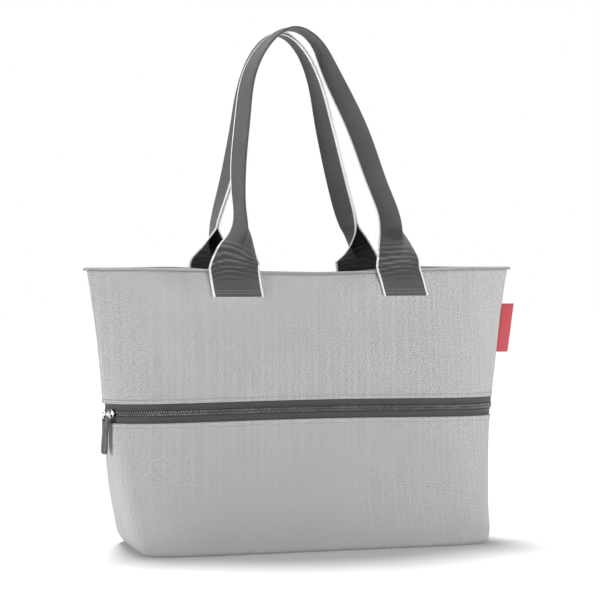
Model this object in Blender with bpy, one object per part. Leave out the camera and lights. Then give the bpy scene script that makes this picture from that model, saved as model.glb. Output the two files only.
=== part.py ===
# A soft shopper bag with a zip band round its middle and two webbing straps, standing open on its base.
# Metres. The floor is z = 0, +Z is up, the front faces -Y and +X is to the right of the front.
import math

import bmesh
import bpy
import numpy as np
from mathutils import Matrix, Vector

MM = 0.001

# Driving sizes
TOP_WIDTH = 400 * MM
BAG_HEIGHT = 250 * MM
BASE_DEPTH = 129 * MM
FABRIC = 1.8 * MM
BASE_PANEL_INSET = 0.924 * MM
PIECE_GAP = 0.4 * MM
SEAM_GAP = 0.4 * MM
FOOT_RADIUS = 5 * MM
BASE_THICKNESS = 1.8 * MM
BINDING_DROP = 3.2 * MM
BINDING_SKIN = 0.9 * MM
ZIP_HEIGHT = 122 * MM
ZIP_OPENING = 17.4 * MM
CHAIN_WIDTH = 5.0 * MM
CHAIN_THICKNESS = 2.0 * MM
CHAIN_RECESS = 1.2 * MM
TAPE_THICKNESS = 0.8 * MM
TAPE_HIDDEN = 3.0 * MM
TAPE_TO_CHAIN = 0.35 * MM
CHAIN_END_GAP = 0.9 * MM
SLIDER_FROM_SEAM = 13 * MM
SLIDER_LENGTH = 11 * MM
SLIDER_PLATE = 1.2 * MM
SLIDER_WIDTH = 8.4 * MM
SLIDER_SLOT_SLACK = 1.7 * MM
SLIDER_NOSE = 0.8 * MM
SLIDER_BEVEL = 0.6 * MM
SLIDER_WEB_CLEAR = 0.2 * MM
SLIDER_WING_CLEAR = 0.3 * MM
BRIDGE_WIRE = 1.1 * MM
BRIDGE_RISE = 3.2 * MM
BRIDGE_SPAN = 8.0 * MM
BRIDGE_BEND = 1.4 * MM
RING_RADIUS = 3.0 * MM
RING_WIRE = 1.2 * MM
RING_ARM = 1.5 * MM
RING_LEAN_DEG = 30.0
TAB_LENGTH = 34 * MM
TAB_WIDTH = 8.0 * MM
TAB_THICKNESS = 3.0 * MM
TAB_HOLE = 3.2 * MM
TAB_HOLE_BELOW_TOP = 3.0 * MM
RING_IN_HOLE_GAP = 0.3 * MM
TAB_TILT_DEG = 3.0
WEBBING_WIDTH = 44 * MM
WEBBING_THICKNESS = 1.7 * MM
FOLD_RAMP = 1.9 * MM
STRAP_HALF_SPACING = 76 * MM
STRAP_RISE = 216.3 * MM
STRAP_PATCH = 25.5 * MM
STRAP_TOP_GAP = 3 * MM
STRAP_STEP_START = 16 * MM
STRAP_STEP_LENGTH = 10 * MM
RIM_SAG = 6 * MM
FOLD_DEPTH = 2 * MM
FOLD_FADE = 9 * MM
ZIP_LIFT = 3.5 * MM
LABEL_REACH = 10.4 * MM
LABEL_HEIGHT = 45 * MM
LABEL_THICKNESS = 1.0 * MM
LABEL_MIDDLE = 193 * MM

# How finely each piece is divided
PANEL_COLUMNS = 28
UPPER_ROWS = 7
LOWER_ROWS = 8
STRAP_SECTIONS = 44

# The body's outline at each height: shares of BAG_HEIGHT, TOP_WIDTH and BASE_DEPTH,
# then how square the outline is towards its ends and across its face, and how far the soft bag has
# sagged sideways there as a share of TOP_WIDTH.
BODY_COLUMNS = ("height", "width", "depth", "end_power", "face_power", "shift")
BODY_SECTIONS = (
    (0.00, 0.800, 0.975, 7.0, 9.00, 0.0015),
    (0.04, 0.822, 0.982, 7.0, 8.00, -0.0030),
    (0.10, 0.835, 0.975, 6.6, 6.20, -0.0070),
    (0.22, 0.860, 0.945, 5.6, 4.20, -0.0120),
    (0.38, 0.892, 0.895, 4.6, 2.30, -0.0115),
    (0.49, 0.910, 0.860, 4.2, 1.70, -0.0083),
    (0.66, 0.937, 0.815, 3.6, 1.25, -0.0055),
    (0.84, 0.967, 0.770, 3.0, 1.05, -0.0050),
    (1.00, 0.999, 0.735, 2.3, 1.00, -0.0045),
)

# How far the rim stands above or below BAG_HEIGHT, as shares of RIM_SAG, by share of the way from the
# middle to the side seam.
RIM_COLUMNS = ("from_middle", "front", "back")
RIM_TABLE = (
    (0.00, -0.68, -1.10),
    (0.30, -0.45, -0.75),
    (0.50, -0.20, -0.05),
    (0.80, 0.00, -0.02),
    (1.00, 0.00, 0.00),
)

# Soft folds in the cloth: where their middle is along the cloth from the middle of the panel and in
# height, their half width and half height, how far they stand out as shares of FOLD_DEPTH, and how far
# they lean sideways over their height. The first four are shares of TOP_WIDTH, BAG_HEIGHT, TOP_WIDTH and
# BAG_HEIGHT.
FOLD_COLUMNS = ("along", "height", "half_width", "half_height", "out", "lean")
FRONT_FOLDS = (
    (-0.440, 0.700, 0.020, 0.300, 0.45, -0.15),
    (-0.355, 0.730, 0.034, 0.240, -1.20, -0.12),
    (-0.290, 0.720, 0.050, 0.240, 0.35, -0.10),
    (-0.315, 0.925, 0.050, 0.060, 1.10, -0.30),
    (-0.090, 0.920, 0.030, 0.050, 0.60, 0.30),
    (0.060, 0.860, 0.050, 0.100, 0.50, 0.10),
    (0.085, 0.930, 0.045, 0.055, 1.00, 0.40),
    (0.330, 0.800, 0.045, 0.150, -0.50, 0.15),
    (-0.385, 0.160, 0.022, 0.150, -0.80, -0.10),
    (-0.120, 0.280, 0.070, 0.180, -0.35, 0.05),
    (0.150, 0.250, 0.080, 0.160, 0.40, 0.00),
    (0.380, 0.240, 0.030, 0.180, -0.45, 0.06),
)
BACK_FOLDS = (
    (-0.380, 0.760, 0.032, 0.220, -0.70, -0.14),
    (0.360, 0.780, 0.034, 0.200, -0.60, 0.16),
    (-0.080, 0.850, 0.055, 0.120, 0.50, -0.10),
    (0.180, 0.900, 0.040, 0.070, 0.40, 0.30),
    (0.120, 0.260, 0.080, 0.170, -0.40, 0.00),
    (-0.200, 0.220, 0.070, 0.160, 0.40, 0.05),
    (0.370, 0.180, 0.022, 0.150, -0.50, 0.10),
)

# Each strap's folded edge from the left base over the top to the right base. across is a share of
# STRAP_HALF_SPACING. out is 1 where the strap passes the rim and 0 where both straps meet at the top.
# up is a share of STRAP_RISE above the rim, or of STRAP_PATCH below it. open_deg is how far each half
# swings out from the fold, 90 being flat. turn_deg turns the folded band about the vertical. lie is 1
# where the strap lies on the panel and 0 where it is free.
STRAP_COLUMNS = ("across", "out", "up", "open_deg", "turn_deg", "lie")
FRONT_STRAP = (
    (-0.972, 0.95, -1.000, 90, -9, 1.0),
    (-0.999, 0.93, -0.470, 90, -9, 1.0),
    (-1.018, 0.92, 0.005, 86, -9, 1.0),
    (-0.975, 0.99, 0.051, 62, -4, 0.2),
    (-0.918, 1.00, 0.098, 40, 0, 0.0),
    (-0.878, 0.97, 0.163, 21, 5, 0.0),
    (-0.900, 0.90, 0.233, 5, 9, 0.0),
    (-0.896, 0.80, 0.336, 1, 17, 0.0),
    (-0.822, 0.57, 0.583, 1, 21, 0.0),
    (-0.690, 0.29, 0.828, 1, 15, 0.0),
    (-0.478, 0.11, 0.940, 1, 8, 0.0),
    (-0.217, 0.00, 1.000, 1, 0, 0.0),
    (0.073, 0.11, 0.946, 1, 10, 0.0),
    (0.262, 0.27, 0.828, 1, 27, 0.0),
    (0.600, 0.57, 0.583, 1, 37, 0.0),
    (0.838, 0.80, 0.336, 1, 34, 0.0),
    (0.958, 0.92, 0.224, 12, 28, 0.0),
    (0.989, 0.98, 0.163, 30, 18, 0.0),
    (0.996, 1.00, 0.098, 50, 12, 0.0),
    (0.985, 0.99, 0.051, 68, 9, 0.2),
    (0.972, 0.92, 0.005, 86, 9, 1.0),
    (1.026, 0.93, -0.470, 90, 9, 1.0),
    (1.070, 0.95, -1.000, 90, 9, 1.0),
)
BACK_STRAP = (
    (-1.033, 0.95, -1.000, 90, -9, 1.0),
    (-1.021, 0.93, -0.470, 90, -9, 1.0),
    (-1.008, 0.92, 0.012, 82, -9, 1.0),
    (-1.011, 0.99, 0.056, 48, -6, 0.2),
    (-1.008, 1.00, 0.117, 20, -4, 0.0),
    (-1.003, 0.97, 0.173, 1, -4, 0.0),
    (-0.976, 0.90, 0.233, 1, -9, 0.0),
    (-0.903, 0.79, 0.350, 1, -17, 0.0),
    (-0.797, 0.59, 0.560, 1, -19, 0.0),
    (-0.678, 0.31, 0.807, 1, -14, 0.0),
    (-0.533, 0.12, 0.924, 1, -7, 0.0),
    (-0.296, 0.00, 0.992, 1, 0, 0.0),
    (-0.046, 0.12, 0.938, 1, -5, 0.0),
    (0.129, 0.28, 0.826, 1, -14, 0.0),
    (0.284, 0.56, 0.597, 1, -34, 0.0),
    (0.480, 0.80, 0.327, 1, -44, 0.0),
    (0.579, 0.92, 0.219, 1, -44, 0.0),
    (0.655, 0.97, 0.159, 4, -32, 0.0),
    (0.750, 1.00, 0.103, 25, -14, 0.0),
    (0.813, 0.99, 0.056, 48, 0, 0.2),
    (0.861, 0.92, 0.009, 82, 9, 1.0),
    (0.882, 0.93, -0.470, 90, 9, 1.0),
    (0.908, 0.95, -1.000, 90, 9, 1.0),
)

# Where the webbing's section has its points, from its edge to near the fold, as shares of its half width.
HALF_WEBBING_SHARES = (1.0, 0.5, 0.085, 0.04)


def clear_scene():
    for found in list(bpy.data.objects):
        bpy.data.objects.remove(found)


def new_collection(name, hidden=False):
    collection = bpy.data.collections.new(name)
    bpy.context.scene.collection.children.link(collection)
    collection.hide_render = hidden
    return collection


def plain_material(name, colour, roughness, metallic=0.0):
    made = bpy.data.materials.new(name)
    made.use_nodes = True
    shader = made.node_tree.nodes["Principled BSDF"]
    shader.inputs["Base Color"].default_value = (*colour, 1.0)
    shader.inputs["Roughness"].default_value = roughness
    shader.inputs["Metallic"].default_value = metallic
    made.diffuse_color = (*colour, 1.0)
    return made


def smooth_between(table, at):
    """The table's columns at this value of its first column, on a smooth curve through its rows."""
    rows = np.array(table, dtype=float)
    keys = rows[:, 0]
    at = min(max(at, keys[0]), keys[-1])
    slopes = np.gradient(rows[:, 1:], keys, axis=0)
    after = int(np.clip(np.searchsorted(keys, at), 1, len(keys) - 1))
    before = after - 1
    span = keys[after] - keys[before]
    t = (at - keys[before]) / span
    start = rows[before, 1:]
    end = rows[after, 1:]
    return (
        (2 * t**3 - 3 * t**2 + 1) * start
        + (t**3 - 2 * t**2 + t) * span * slopes[before]
        + (3 * t**2 - 2 * t**3) * end
        + (t**3 - t**2) * span * slopes[after]
    )


def body_at(height):
    """The outline at this height: half width and half depth in metres, two powers and a sideways shift."""
    width, depth, end_power, face_power, shift = smooth_between(BODY_SECTIONS, height / BAG_HEIGHT)
    return width * TOP_WIDTH / 2, depth * BASE_DEPTH / 2, end_power, face_power, shift * TOP_WIDTH


def seam_x(height, side):
    """Where the left seam, side -1, or the right seam, side 1, is at this height."""
    return side * body_at(height)[0] + body_at(height)[4]


def column_shares():
    """Shares of the way across a panel, closer together towards the side seams."""
    even = np.linspace(0, 1, PANEL_COLUMNS + 1)
    crowded = 0.5 * (1 - np.cos(np.pi * even))
    return 0.5 * even + 0.5 * crowded


def fold_relief(folds, along, height):
    """How far soft folds move the cloth outward at these places along it; none at its hems."""
    clear_of_zip = abs(height - ZIP_HEIGHT) - ZIP_OPENING / 2 - TAPE_HIDDEN
    clear = min(BAG_HEIGHT - BINDING_DROP - height, clear_of_zip, height - FOOT_RADIUS)
    fade = min(max(clear / FOLD_FADE, 0.0), 1.0)
    moved = np.zeros(len(along))
    for middle, level, half_width, half_height, out, lean in folds:
        rise = height - level * BAG_HEIGHT
        sideways = (along - middle * TOP_WIDTH - lean * rise) / (half_width * TOP_WIDTH)
        upward = rise / (half_height * BAG_HEIGHT)
        moved += fade * out * FOLD_DEPTH * np.exp(-(sideways**2) - upward**2)
    return moved


def front_outline(height, outward=0.0, seam_gap=0.0, shares=None, folds=()):
    """Points of the front half of the outline from the left seam to the right seam, moved outward."""
    half_width, half_depth, end_power, face_power, shift = body_at(height)
    angle = np.linspace(-np.pi / 2, np.pi / 2, 1201)
    sine = np.sin(angle)
    cosine = np.clip(np.cos(angle), 0, 1)
    x = shift + half_width * np.sign(sine) * np.abs(sine) ** (2 / end_power)
    y = -half_depth * cosine ** (2 / face_power)
    run = np.concatenate([[0], np.cumsum(np.hypot(np.diff(x), np.diff(y)))])
    wanted = (column_shares() if shares is None else np.array(shares)) * run[-1]
    px = np.interp(wanted, run, x)
    py = np.interp(wanted, run, y)
    points = np.stack([px, py], axis=1)
    step = run[-1] / 400
    ahead = np.stack([np.interp(wanted + step, run, x), np.interp(wanted + step, run, y)], axis=1)
    behind = np.stack([np.interp(wanted - step, run, x), np.interp(wanted - step, run, y)], axis=1)
    tangent = ahead - behind
    tangent /= np.linalg.norm(tangent, axis=1)[:, None]
    normal = np.stack([tangent[:, 1], -tangent[:, 0]], axis=1)
    amount = outward + fold_relief(folds, wanted - run[-1] / 2, height)
    moved = points + amount[:, None] * normal
    # At a seam the moved edge stays on the seam's own plane, so the two halves meet there.
    for end in (0, -1):
        slide = (-seam_gap - moved[end, 1]) / tangent[end, 1]
        moved[end] = moved[end] + slide * tangent[end]
    return moved


def rim_change(x_share, side):
    """How far the rim stands above BAG_HEIGHT here; side is -1 for the front and 1 for the back."""
    front, back = smooth_between(RIM_TABLE, min(abs(x_share), 1.0))
    return (front if side < 0 else back) * RIM_SAG


def zip_lift(x):
    """How far the zip band stands above its own height here: more towards each face's middle."""
    half_width, shift = body_at(ZIP_HEIGHT)[0], body_at(ZIP_HEIGHT)[4]
    return ZIP_LIFT * (1 - min(abs(x - shift) / half_width, 1.0) ** 2)


def to_side(points, side):
    """The front outline itself for side -1, or its mirror image for side 1."""
    made = points.copy()
    made[:, 1] *= -side
    return made


def grid_solid(outer, inner):
    """One closed wall from two grids of points, with its four edges filled."""
    rows = len(outer)
    columns = len(outer[0])
    mesh = bmesh.new()
    out = [[mesh.verts.new(p) for p in row] for row in outer]
    back = [[mesh.verts.new(p) for p in row] for row in inner]
    for i in range(rows - 1):
        for j in range(columns - 1):
            mesh.faces.new((out[i][j], out[i][j + 1], out[i + 1][j + 1], out[i + 1][j]))
            mesh.faces.new((back[i][j], back[i + 1][j], back[i + 1][j + 1], back[i][j + 1]))
    for j in range(columns - 1):
        mesh.faces.new((out[0][j], back[0][j], back[0][j + 1], out[0][j + 1]))
        mesh.faces.new((out[-1][j], out[-1][j + 1], back[-1][j + 1], back[-1][j]))
    for i in range(rows - 1):
        mesh.faces.new((out[i][0], out[i + 1][0], back[i + 1][0], back[i][0]))
        mesh.faces.new((out[i][-1], back[i][-1], back[i + 1][-1], out[i + 1][-1]))
    return mesh


def ring_solid(sections):
    """One closed loop from equal sections, each a list of points, the last joined to the first."""
    mesh = bmesh.new()
    made = [[mesh.verts.new(p) for p in section] for section in sections]
    count = len(made)
    size = len(made[0])
    for i in range(count):
        after = made[(i + 1) % count]
        for j in range(size):
            k = (j + 1) % size
            mesh.faces.new((made[i][j], after[j], after[k], made[i][k]))
    return mesh


def bar_solid(sections):
    """One closed bar from equal sections, with a flat cap at each end."""
    mesh = bmesh.new()
    made = [[mesh.verts.new(p) for p in section] for section in sections]
    size = len(made[0])
    for i in range(len(made) - 1):
        for j in range(size):
            k = (j + 1) % size
            mesh.faces.new((made[i][j], made[i + 1][j], made[i + 1][k], made[i][k]))
    for section in (made[0], made[-1]):
        mesh.faces.new(section)
    return mesh


def add_piece(name, mesh, material, collection, smooth=True):
    """Turns a bmesh into a named object with outward faces."""
    bmesh.ops.recalc_face_normals(mesh, faces=mesh.faces)
    if mesh.calc_volume(signed=True) < 0:
        bmesh.ops.reverse_faces(mesh, faces=mesh.faces)
    data = bpy.data.meshes.new(name)
    mesh.to_mesh(data)
    mesh.free()
    data.materials.append(material)
    data.polygons.foreach_set("use_smooth", [smooth] * len(data.polygons))
    made = bpy.data.objects.new(name, data)
    collection.objects.link(made)
    return made


def upper_panel(side):
    """The front or back wall above the zip band, up to the rim's binding."""
    bottom = ZIP_HEIGHT + ZIP_OPENING / 2
    top = BAG_HEIGHT - BINDING_SKIN - PIECE_GAP
    folds = FRONT_FOLDS if side < 0 else BACK_FOLDS
    outer = []
    inner = []
    for row in range(UPPER_ROWS + 1):
        share = row / UPPER_ROWS
        height = bottom + share * (top - bottom)
        skin = to_side(front_outline(height, 0.0, SEAM_GAP / 2, None, folds), side)
        lining = to_side(front_outline(height, -FABRIC, SEAM_GAP / 2, None, folds), side)
        half_width, shift = body_at(height)[0], body_at(height)[4]
        rise = [
            share**2 * rim_change((x - shift) / half_width, side) + (1 - share) ** 2 * zip_lift(x)
            for x in skin[:, 0]
        ]
        outer.append([(x, y, height + up) for (x, y), up in zip(skin, rise)])
        inner.append([(x, y, height + up) for (x, y), up in zip(lining, rise)])
    return grid_solid(outer, inner)


def foot_turns():
    """The angles at which the wall turns under into the base, from upright towards flat."""
    return [math.radians(degrees) for degrees in (80, 58, 36, 16)]


def lower_panel(side):
    """The front or back wall below the zip band, turning under at the base."""
    top = ZIP_HEIGHT - ZIP_OPENING / 2
    folds = FRONT_FOLDS if side < 0 else BACK_FOLDS
    outer = []
    inner = []
    for turn in foot_turns():
        inset = FOOT_RADIUS * (1 - math.cos(turn))
        height = FOOT_RADIUS * (1 - math.sin(turn))
        lining_inset = inset + FABRIC * math.cos(turn)
        lining_height = height + FABRIC * math.sin(turn)
        skin = to_side(front_outline(height, -inset, SEAM_GAP / 2), side)
        lining = to_side(front_outline(height, -lining_inset, SEAM_GAP / 2), side)
        outer.append([(x, y, height) for x, y in skin])
        inner.append([(x, y, lining_height) for x, y in lining])
    for row in range(LOWER_ROWS + 1):
        share = row / LOWER_ROWS
        height = FOOT_RADIUS + share * (top - FOOT_RADIUS)
        skin = to_side(front_outline(height, 0.0, SEAM_GAP / 2, None, folds), side)
        lining = to_side(front_outline(height, -FABRIC, SEAM_GAP / 2, None, folds), side)
        outer.append([(x, y, height + share**2 * zip_lift(x)) for x, y in skin])
        inner.append([(x, y, height + share**2 * zip_lift(x)) for x, y in lining])
    return grid_solid(outer, inner)


def closed_outline(height, outward):
    """The whole outline as one ring: the front from left to right, then the back from right to left."""
    front = front_outline(height, outward)
    back = to_side(front, 1)[::-1]
    return [(p, -1) for p in front[:-1]] + [(p, 1) for p in back[:-1]]


def base_panel():
    """The flat base, inside the turned-under edge of the walls."""
    inset = FOOT_RADIUS * (1 - math.cos(foot_turns()[0])) + BASE_PANEL_INSET
    ring = [p for p, _ in closed_outline(0.0, -inset)]
    sections = [[(x, y, z) for x, y in ring] for z in (0.0, BASE_THICKNESS)]
    return bar_solid(sections)


def rim_binding():
    """A folded strip that covers the raw edge of both upper panels all the way round the mouth."""
    out = BINDING_SKIN + PIECE_GAP
    top = BAG_HEIGHT
    under_top = top - BINDING_SKIN
    low = top - BINDING_DROP
    # The section as pairs of an outward distance and a height, round the strip's folded shape.
    outline = (
        (out, low),
        (out, top),
        (-FABRIC - out, top),
        (-FABRIC - out, low),
        (-FABRIC - PIECE_GAP, low),
        (-FABRIC - PIECE_GAP, under_top),
        (PIECE_GAP, under_top),
        (PIECE_GAP, low),
    )
    rings = [closed_outline(height, outward) for outward, height in outline]
    half_width, shift = body_at(top)[0], body_at(top)[4]
    sections = []
    for i in range(len(rings[0])):
        (x, _), side = rings[0][i]
        rise = rim_change((x - shift) / half_width, side)
        if i in (0, PANEL_COLUMNS):
            rise = 0.0
        sections.append([(*ring[i][0], height + rise) for ring, (_, height) in zip(rings, outline)])
    return ring_solid(sections)


def zip_tape(direction):
    """One tape of the zip: direction 1 is the upper tape and -1 the lower."""
    chain_edge = direction * (CHAIN_WIDTH / 2 + TAPE_TO_CHAIN)
    hem_edge = direction * (ZIP_OPENING / 2 + TAPE_HIDDEN)
    face = -(FABRIC + PIECE_GAP)
    back = face - TAPE_THICKNESS
    outline = ((face, chain_edge), (face, hem_edge), (back, hem_edge), (back, chain_edge))
    rings = [closed_outline(ZIP_HEIGHT + up, outward) for outward, up in outline]
    sections = [
        [(*ring[i][0], ZIP_HEIGHT + up + zip_lift(ring[i][0][0])) for ring, (_, up) in zip(rings, outline)]
        for i in range(len(rings[0]))
    ]
    return ring_solid(sections)


def zip_chain():
    """The closed coil of the zip as one rounded band that ends at the slider on both sides."""
    face = -CHAIN_RECESS
    back = face - CHAIN_THICKNESS
    half = CHAIN_WIDTH / 2
    edge = 0.6
    shoulder = 0.35 * CHAIN_THICKNESS
    outline = (
        (face, -half * edge),
        (face, half * edge),
        (face - shoulder, half),
        (back + shoulder, half),
        (back, half * edge),
        (back, -half * edge),
        (back + shoulder, -half),
        (face - shoulder, -half),
    )
    whole = outline_run(ZIP_HEIGHT)
    clear = SLIDER_LENGTH / 2 + PIECE_GAP + CHAIN_END_GAP
    before = (SLIDER_FROM_SEAM - clear) / whole
    after = (SLIDER_FROM_SEAM + clear) / whole
    near = CHAIN_END_GAP / whole
    even = column_shares()
    # Each row is a side, then the shares of the way from the left seam at which the coil has a section.
    route = (
        (-1, [after] + [share for share in even if share > after + near]),
        (1, [share for share in even[-2:0:-1] if share > near]),
        (-1, [0.0, before]),
    )
    sections = []
    for side, shares in route:
        wanted = sorted({0.0, *shares, 1.0})
        rings = []
        for outward, up in outline:
            points = to_side(front_outline(ZIP_HEIGHT, outward, 0.0, wanted), side)
            rings.append([(x, y, ZIP_HEIGHT + up + zip_lift(x)) for x, y in points])
        sections += [[ring[wanted.index(share)] for ring in rings] for share in shares]
    return bar_solid(sections)


def outline_run(height):
    """How long the front half of the outline is."""
    points = front_outline(height, 0.0, 0.0, np.linspace(0, 1, 400))
    return float(np.linalg.norm(np.diff(points, axis=0), axis=1).sum())


def slider_move():
    """The move that takes a slider made at the left seam to its own place and turn on the outline."""
    whole = outline_run(ZIP_HEIGHT)
    half = SLIDER_LENGTH / 2
    shares = [0.0] + [(SLIDER_FROM_SEAM + d) / whole for d in (-half, 0.0, half)] + [1.0]
    points = front_outline(ZIP_HEIGHT, 0.0, 0.0, shares)
    along = points[1] - points[3]
    turn = math.atan2(-along[0], along[1])
    seam = Vector((seam_x(ZIP_HEIGHT, -1), 0.0, 0.0))
    place = Vector((*points[2], zip_lift(points[2][0])))
    return Matrix.Translation(place) @ Matrix.Rotation(turn, 4, "Z") @ Matrix.Translation(-seam)


def slider_face():
    """Where the slider's outer plate has its outer face, on the -X side."""
    return seam_x(ZIP_HEIGHT, -1) - SLIDER_PLATE * 0.5


def bridge_axis():
    """A point on the middle line of the slider's bridge, on which the pull hangs."""
    return Vector((slider_face() - BRIDGE_RISE, 0.0, ZIP_HEIGHT))


def round_bar(path, radius, sides, closed=False):
    """A round wire along a list of points."""
    sections = []
    count = len(path)
    for i, point in enumerate(path):
        if closed:
            along = path[(i + 1) % count] - path[i - 1]
        else:
            along = path[min(i + 1, count - 1)] - path[max(i - 1, 0)]
        along.normalize()
        across = along.cross(Vector((0.0, 0.0, 1.0)))
        if across.length < 0.1:
            across = along.cross(Vector((0.0, 1.0, 0.0)))
        across.normalize()
        other = along.cross(across)
        sections.append(
            [
                point
                + radius * math.cos(2 * math.pi * k / sides) * across
                + radius * math.sin(2 * math.pi * k / sides) * other
                for k in range(sides)
            ]
        )
    return ring_solid(sections) if closed else bar_solid(sections)


def slider_block():
    """The slider's two plates and the wedge between them, as one extruded H with rounded plate ends."""
    face = slider_face()
    half = SLIDER_WIDTH / 2
    web = CHAIN_WIDTH / 2 - SLIDER_WEB_CLEAR
    outer_in = face + SLIDER_PLATE
    tape_back = seam_x(ZIP_HEIGHT, -1) + FABRIC + PIECE_GAP + TAPE_THICKNESS
    inner_out = tape_back + SLIDER_SLOT_SLACK
    inner_face = inner_out + SLIDER_PLATE
    outline = (
        (face, half - SLIDER_NOSE),
        (face + SLIDER_BEVEL, half),
        (outer_in, half),
        (outer_in, web),
        (inner_out, web),
        (inner_out, half),
        (inner_face, half),
        (inner_face, -half),
        (inner_out, -half),
        (inner_out, -web),
        (outer_in, -web),
        (outer_in, -half),
        (face + SLIDER_BEVEL, -half),
        (face, -half + SLIDER_NOSE),
    )
    reach = SLIDER_LENGTH / 2
    # Each row is how far along the slider, and how much of the plates' full width is there.
    shape = ((-1.0, 0.72), (-0.72, 1.0), (0.72, 1.0), (1.0, 0.72))
    sections = []
    for along, width in shape:
        section = []
        for x, z in outline:
            wide = abs(z) > web
            scaled = math.copysign(max(abs(z) * width, web + SLIDER_WING_CLEAR), z) if wide else z
            section.append((x, along * reach, ZIP_HEIGHT + scaled))
        sections.append(section)
    return bar_solid(sections)


def slider_bridge():
    """The bridge over the slider's outer plate, its feet sunk into the plate."""
    axis = bridge_axis()
    foot = SLIDER_PLATE * 0.5
    half = BRIDGE_SPAN / 2
    turns = [math.radians(a) for a in (0, 30, 60, 90)]
    bend = BRIDGE_BEND
    path = [Vector((slider_face() + foot, -half, ZIP_HEIGHT))]
    path += [
        Vector((axis.x + bend - bend * math.sin(t), -half + bend - bend * math.cos(t), ZIP_HEIGHT)) for t in turns
    ]
    path += [
        Vector((axis.x + bend - bend * math.sin(t), half - bend + bend * math.cos(t), ZIP_HEIGHT))
        for t in reversed(turns)
    ]
    path.append(Vector((slider_face() + foot, half, ZIP_HEIGHT)))
    return round_bar(path, BRIDGE_WIRE / 2, 10)


def join_pieces(target, other):
    """Joins another closed mesh to the target for good."""
    modifier = target.modifiers.new("join", "BOOLEAN")
    modifier.operation = "UNION"
    modifier.solver = "EXACT"
    modifier.object = other


def cut_piece(target, cutter):
    modifier = target.modifiers.new("cut", "BOOLEAN")
    modifier.operation = "DIFFERENCE"
    modifier.solver = "EXACT"
    modifier.object = cutter


def ring_centre():
    lean = math.radians(RING_LEAN_DEG)
    return bridge_axis() + RING_ARM * Vector((-math.sin(lean), 0.0, -math.cos(lean)))


def pull_ring():
    """The round ring that hangs on the bridge, in the plane across it."""
    centre = ring_centre()
    steps = 24
    path = [
        centre + RING_RADIUS * Vector((math.cos(2 * math.pi * k / steps), 0.0, math.sin(2 * math.pi * k / steps)))
        for k in range(steps)
    ]
    sections = []
    for point in path:
        outward = (point - centre).normalized()
        sections.append(
            [
                point
                + RING_WIRE / 2 * math.cos(2 * math.pi * k / 8) * outward
                + RING_WIRE / 2 * math.sin(2 * math.pi * k / 8) * Vector((0.0, 1.0, 0.0))
                for k in range(8)
            ]
        )
    return ring_solid(sections)


def tab_frame():
    """Where the middle of the tab's hole is, and the tab's own downward and outward directions."""
    tilt = math.radians(TAB_TILT_DEG)
    down = Vector((-math.sin(tilt), 0.0, -math.cos(tilt)))
    out = Vector((-math.cos(tilt), 0.0, math.sin(tilt)))
    wire = ring_centre() + Vector((0.0, 0.0, -RING_RADIUS))
    hole = wire + (TAB_HOLE / 2 - RING_WIRE / 2 - 2.5 * RING_IN_HOLE_GAP) * down
    return hole, down, out


def pull_tab():
    """The flat moulded tab that hangs on the ring, rounded at its edges and ends."""
    hole, down, out = tab_frame()
    top = hole - TAB_HOLE_BELOW_TOP * down
    # Each row is a share of the length, then the shares of the width and thickness there.
    shape = (
        (0.00, 0.55, 0.60),
        (0.03, 0.82, 0.85),
        (0.08, 0.96, 0.95),
        (0.20, 0.92, 1.00),
        (0.55, 0.86, 1.00),
        (0.85, 0.96, 1.00),
        (0.94, 0.92, 0.95),
        (0.98, 0.74, 0.80),
        (1.00, 0.50, 0.55),
    )
    side = Vector((0.0, 1.0, 0.0))
    corner = 0.7
    sections = []
    for along, width, thickness in shape:
        middle = top + along * TAB_LENGTH * down
        w = width * TAB_WIDTH / 2
        t = thickness * TAB_THICKNESS / 2
        outline = (
            (w * corner, t),
            (w, t * 0.45),
            (w, -t * 0.45),
            (w * corner, -t),
            (-w * corner, -t),
            (-w, -t * 0.45),
            (-w, t * 0.45),
            (-w * corner, t),
        )
        sections.append([middle + a * side + b * out for a, b in outline])
    return bar_solid(sections)


def tab_hole_cutter():
    hole, _, out = tab_frame()
    path = [hole - 3 * TAB_THICKNESS * out, hole + 3 * TAB_THICKNESS * out]
    return round_bar(path, TAB_HOLE / 2, 14)


def strap_rows(table):
    """The table's rows with the fold's place in metres: x, y, z, open_deg, turn_deg and lie."""
    top_out = STRAP_TOP_GAP + WEBBING_WIDTH / 2
    rim_out = body_at(BAG_HEIGHT)[1] + BINDING_SKIN + 2 * PIECE_GAP + WEBBING_THICKNESS
    rows = []
    for across, out, up, open_deg, turn_deg, lie in table:
        x = across * STRAP_HALF_SPACING
        y = -(top_out + out * (rim_out - top_out))
        z = BAG_HEIGHT + up * (STRAP_RISE if up > 0 else STRAP_PATCH)
        rows.append((x, y, z, open_deg, turn_deg, lie))
    return rows


def strap_path(table):
    """Rows along a strap with its place and other columns, closer together at the bases."""
    rows = np.array(strap_rows(table), dtype=float)
    length = np.concatenate([[0], np.cumsum(np.linalg.norm(np.diff(rows[:, :3], axis=0), axis=1))])
    keyed = np.column_stack([length, rows])
    total = length[-1]
    even = np.linspace(0, 1, STRAP_SECTIONS + 1)
    crowded = even - 0.45 * np.sin(4 * np.pi * even) / (4 * np.pi) - 0.35 * np.sin(2 * np.pi * even) / (2 * np.pi)
    return [smooth_between(keyed, share * total) for share in crowded]


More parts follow.
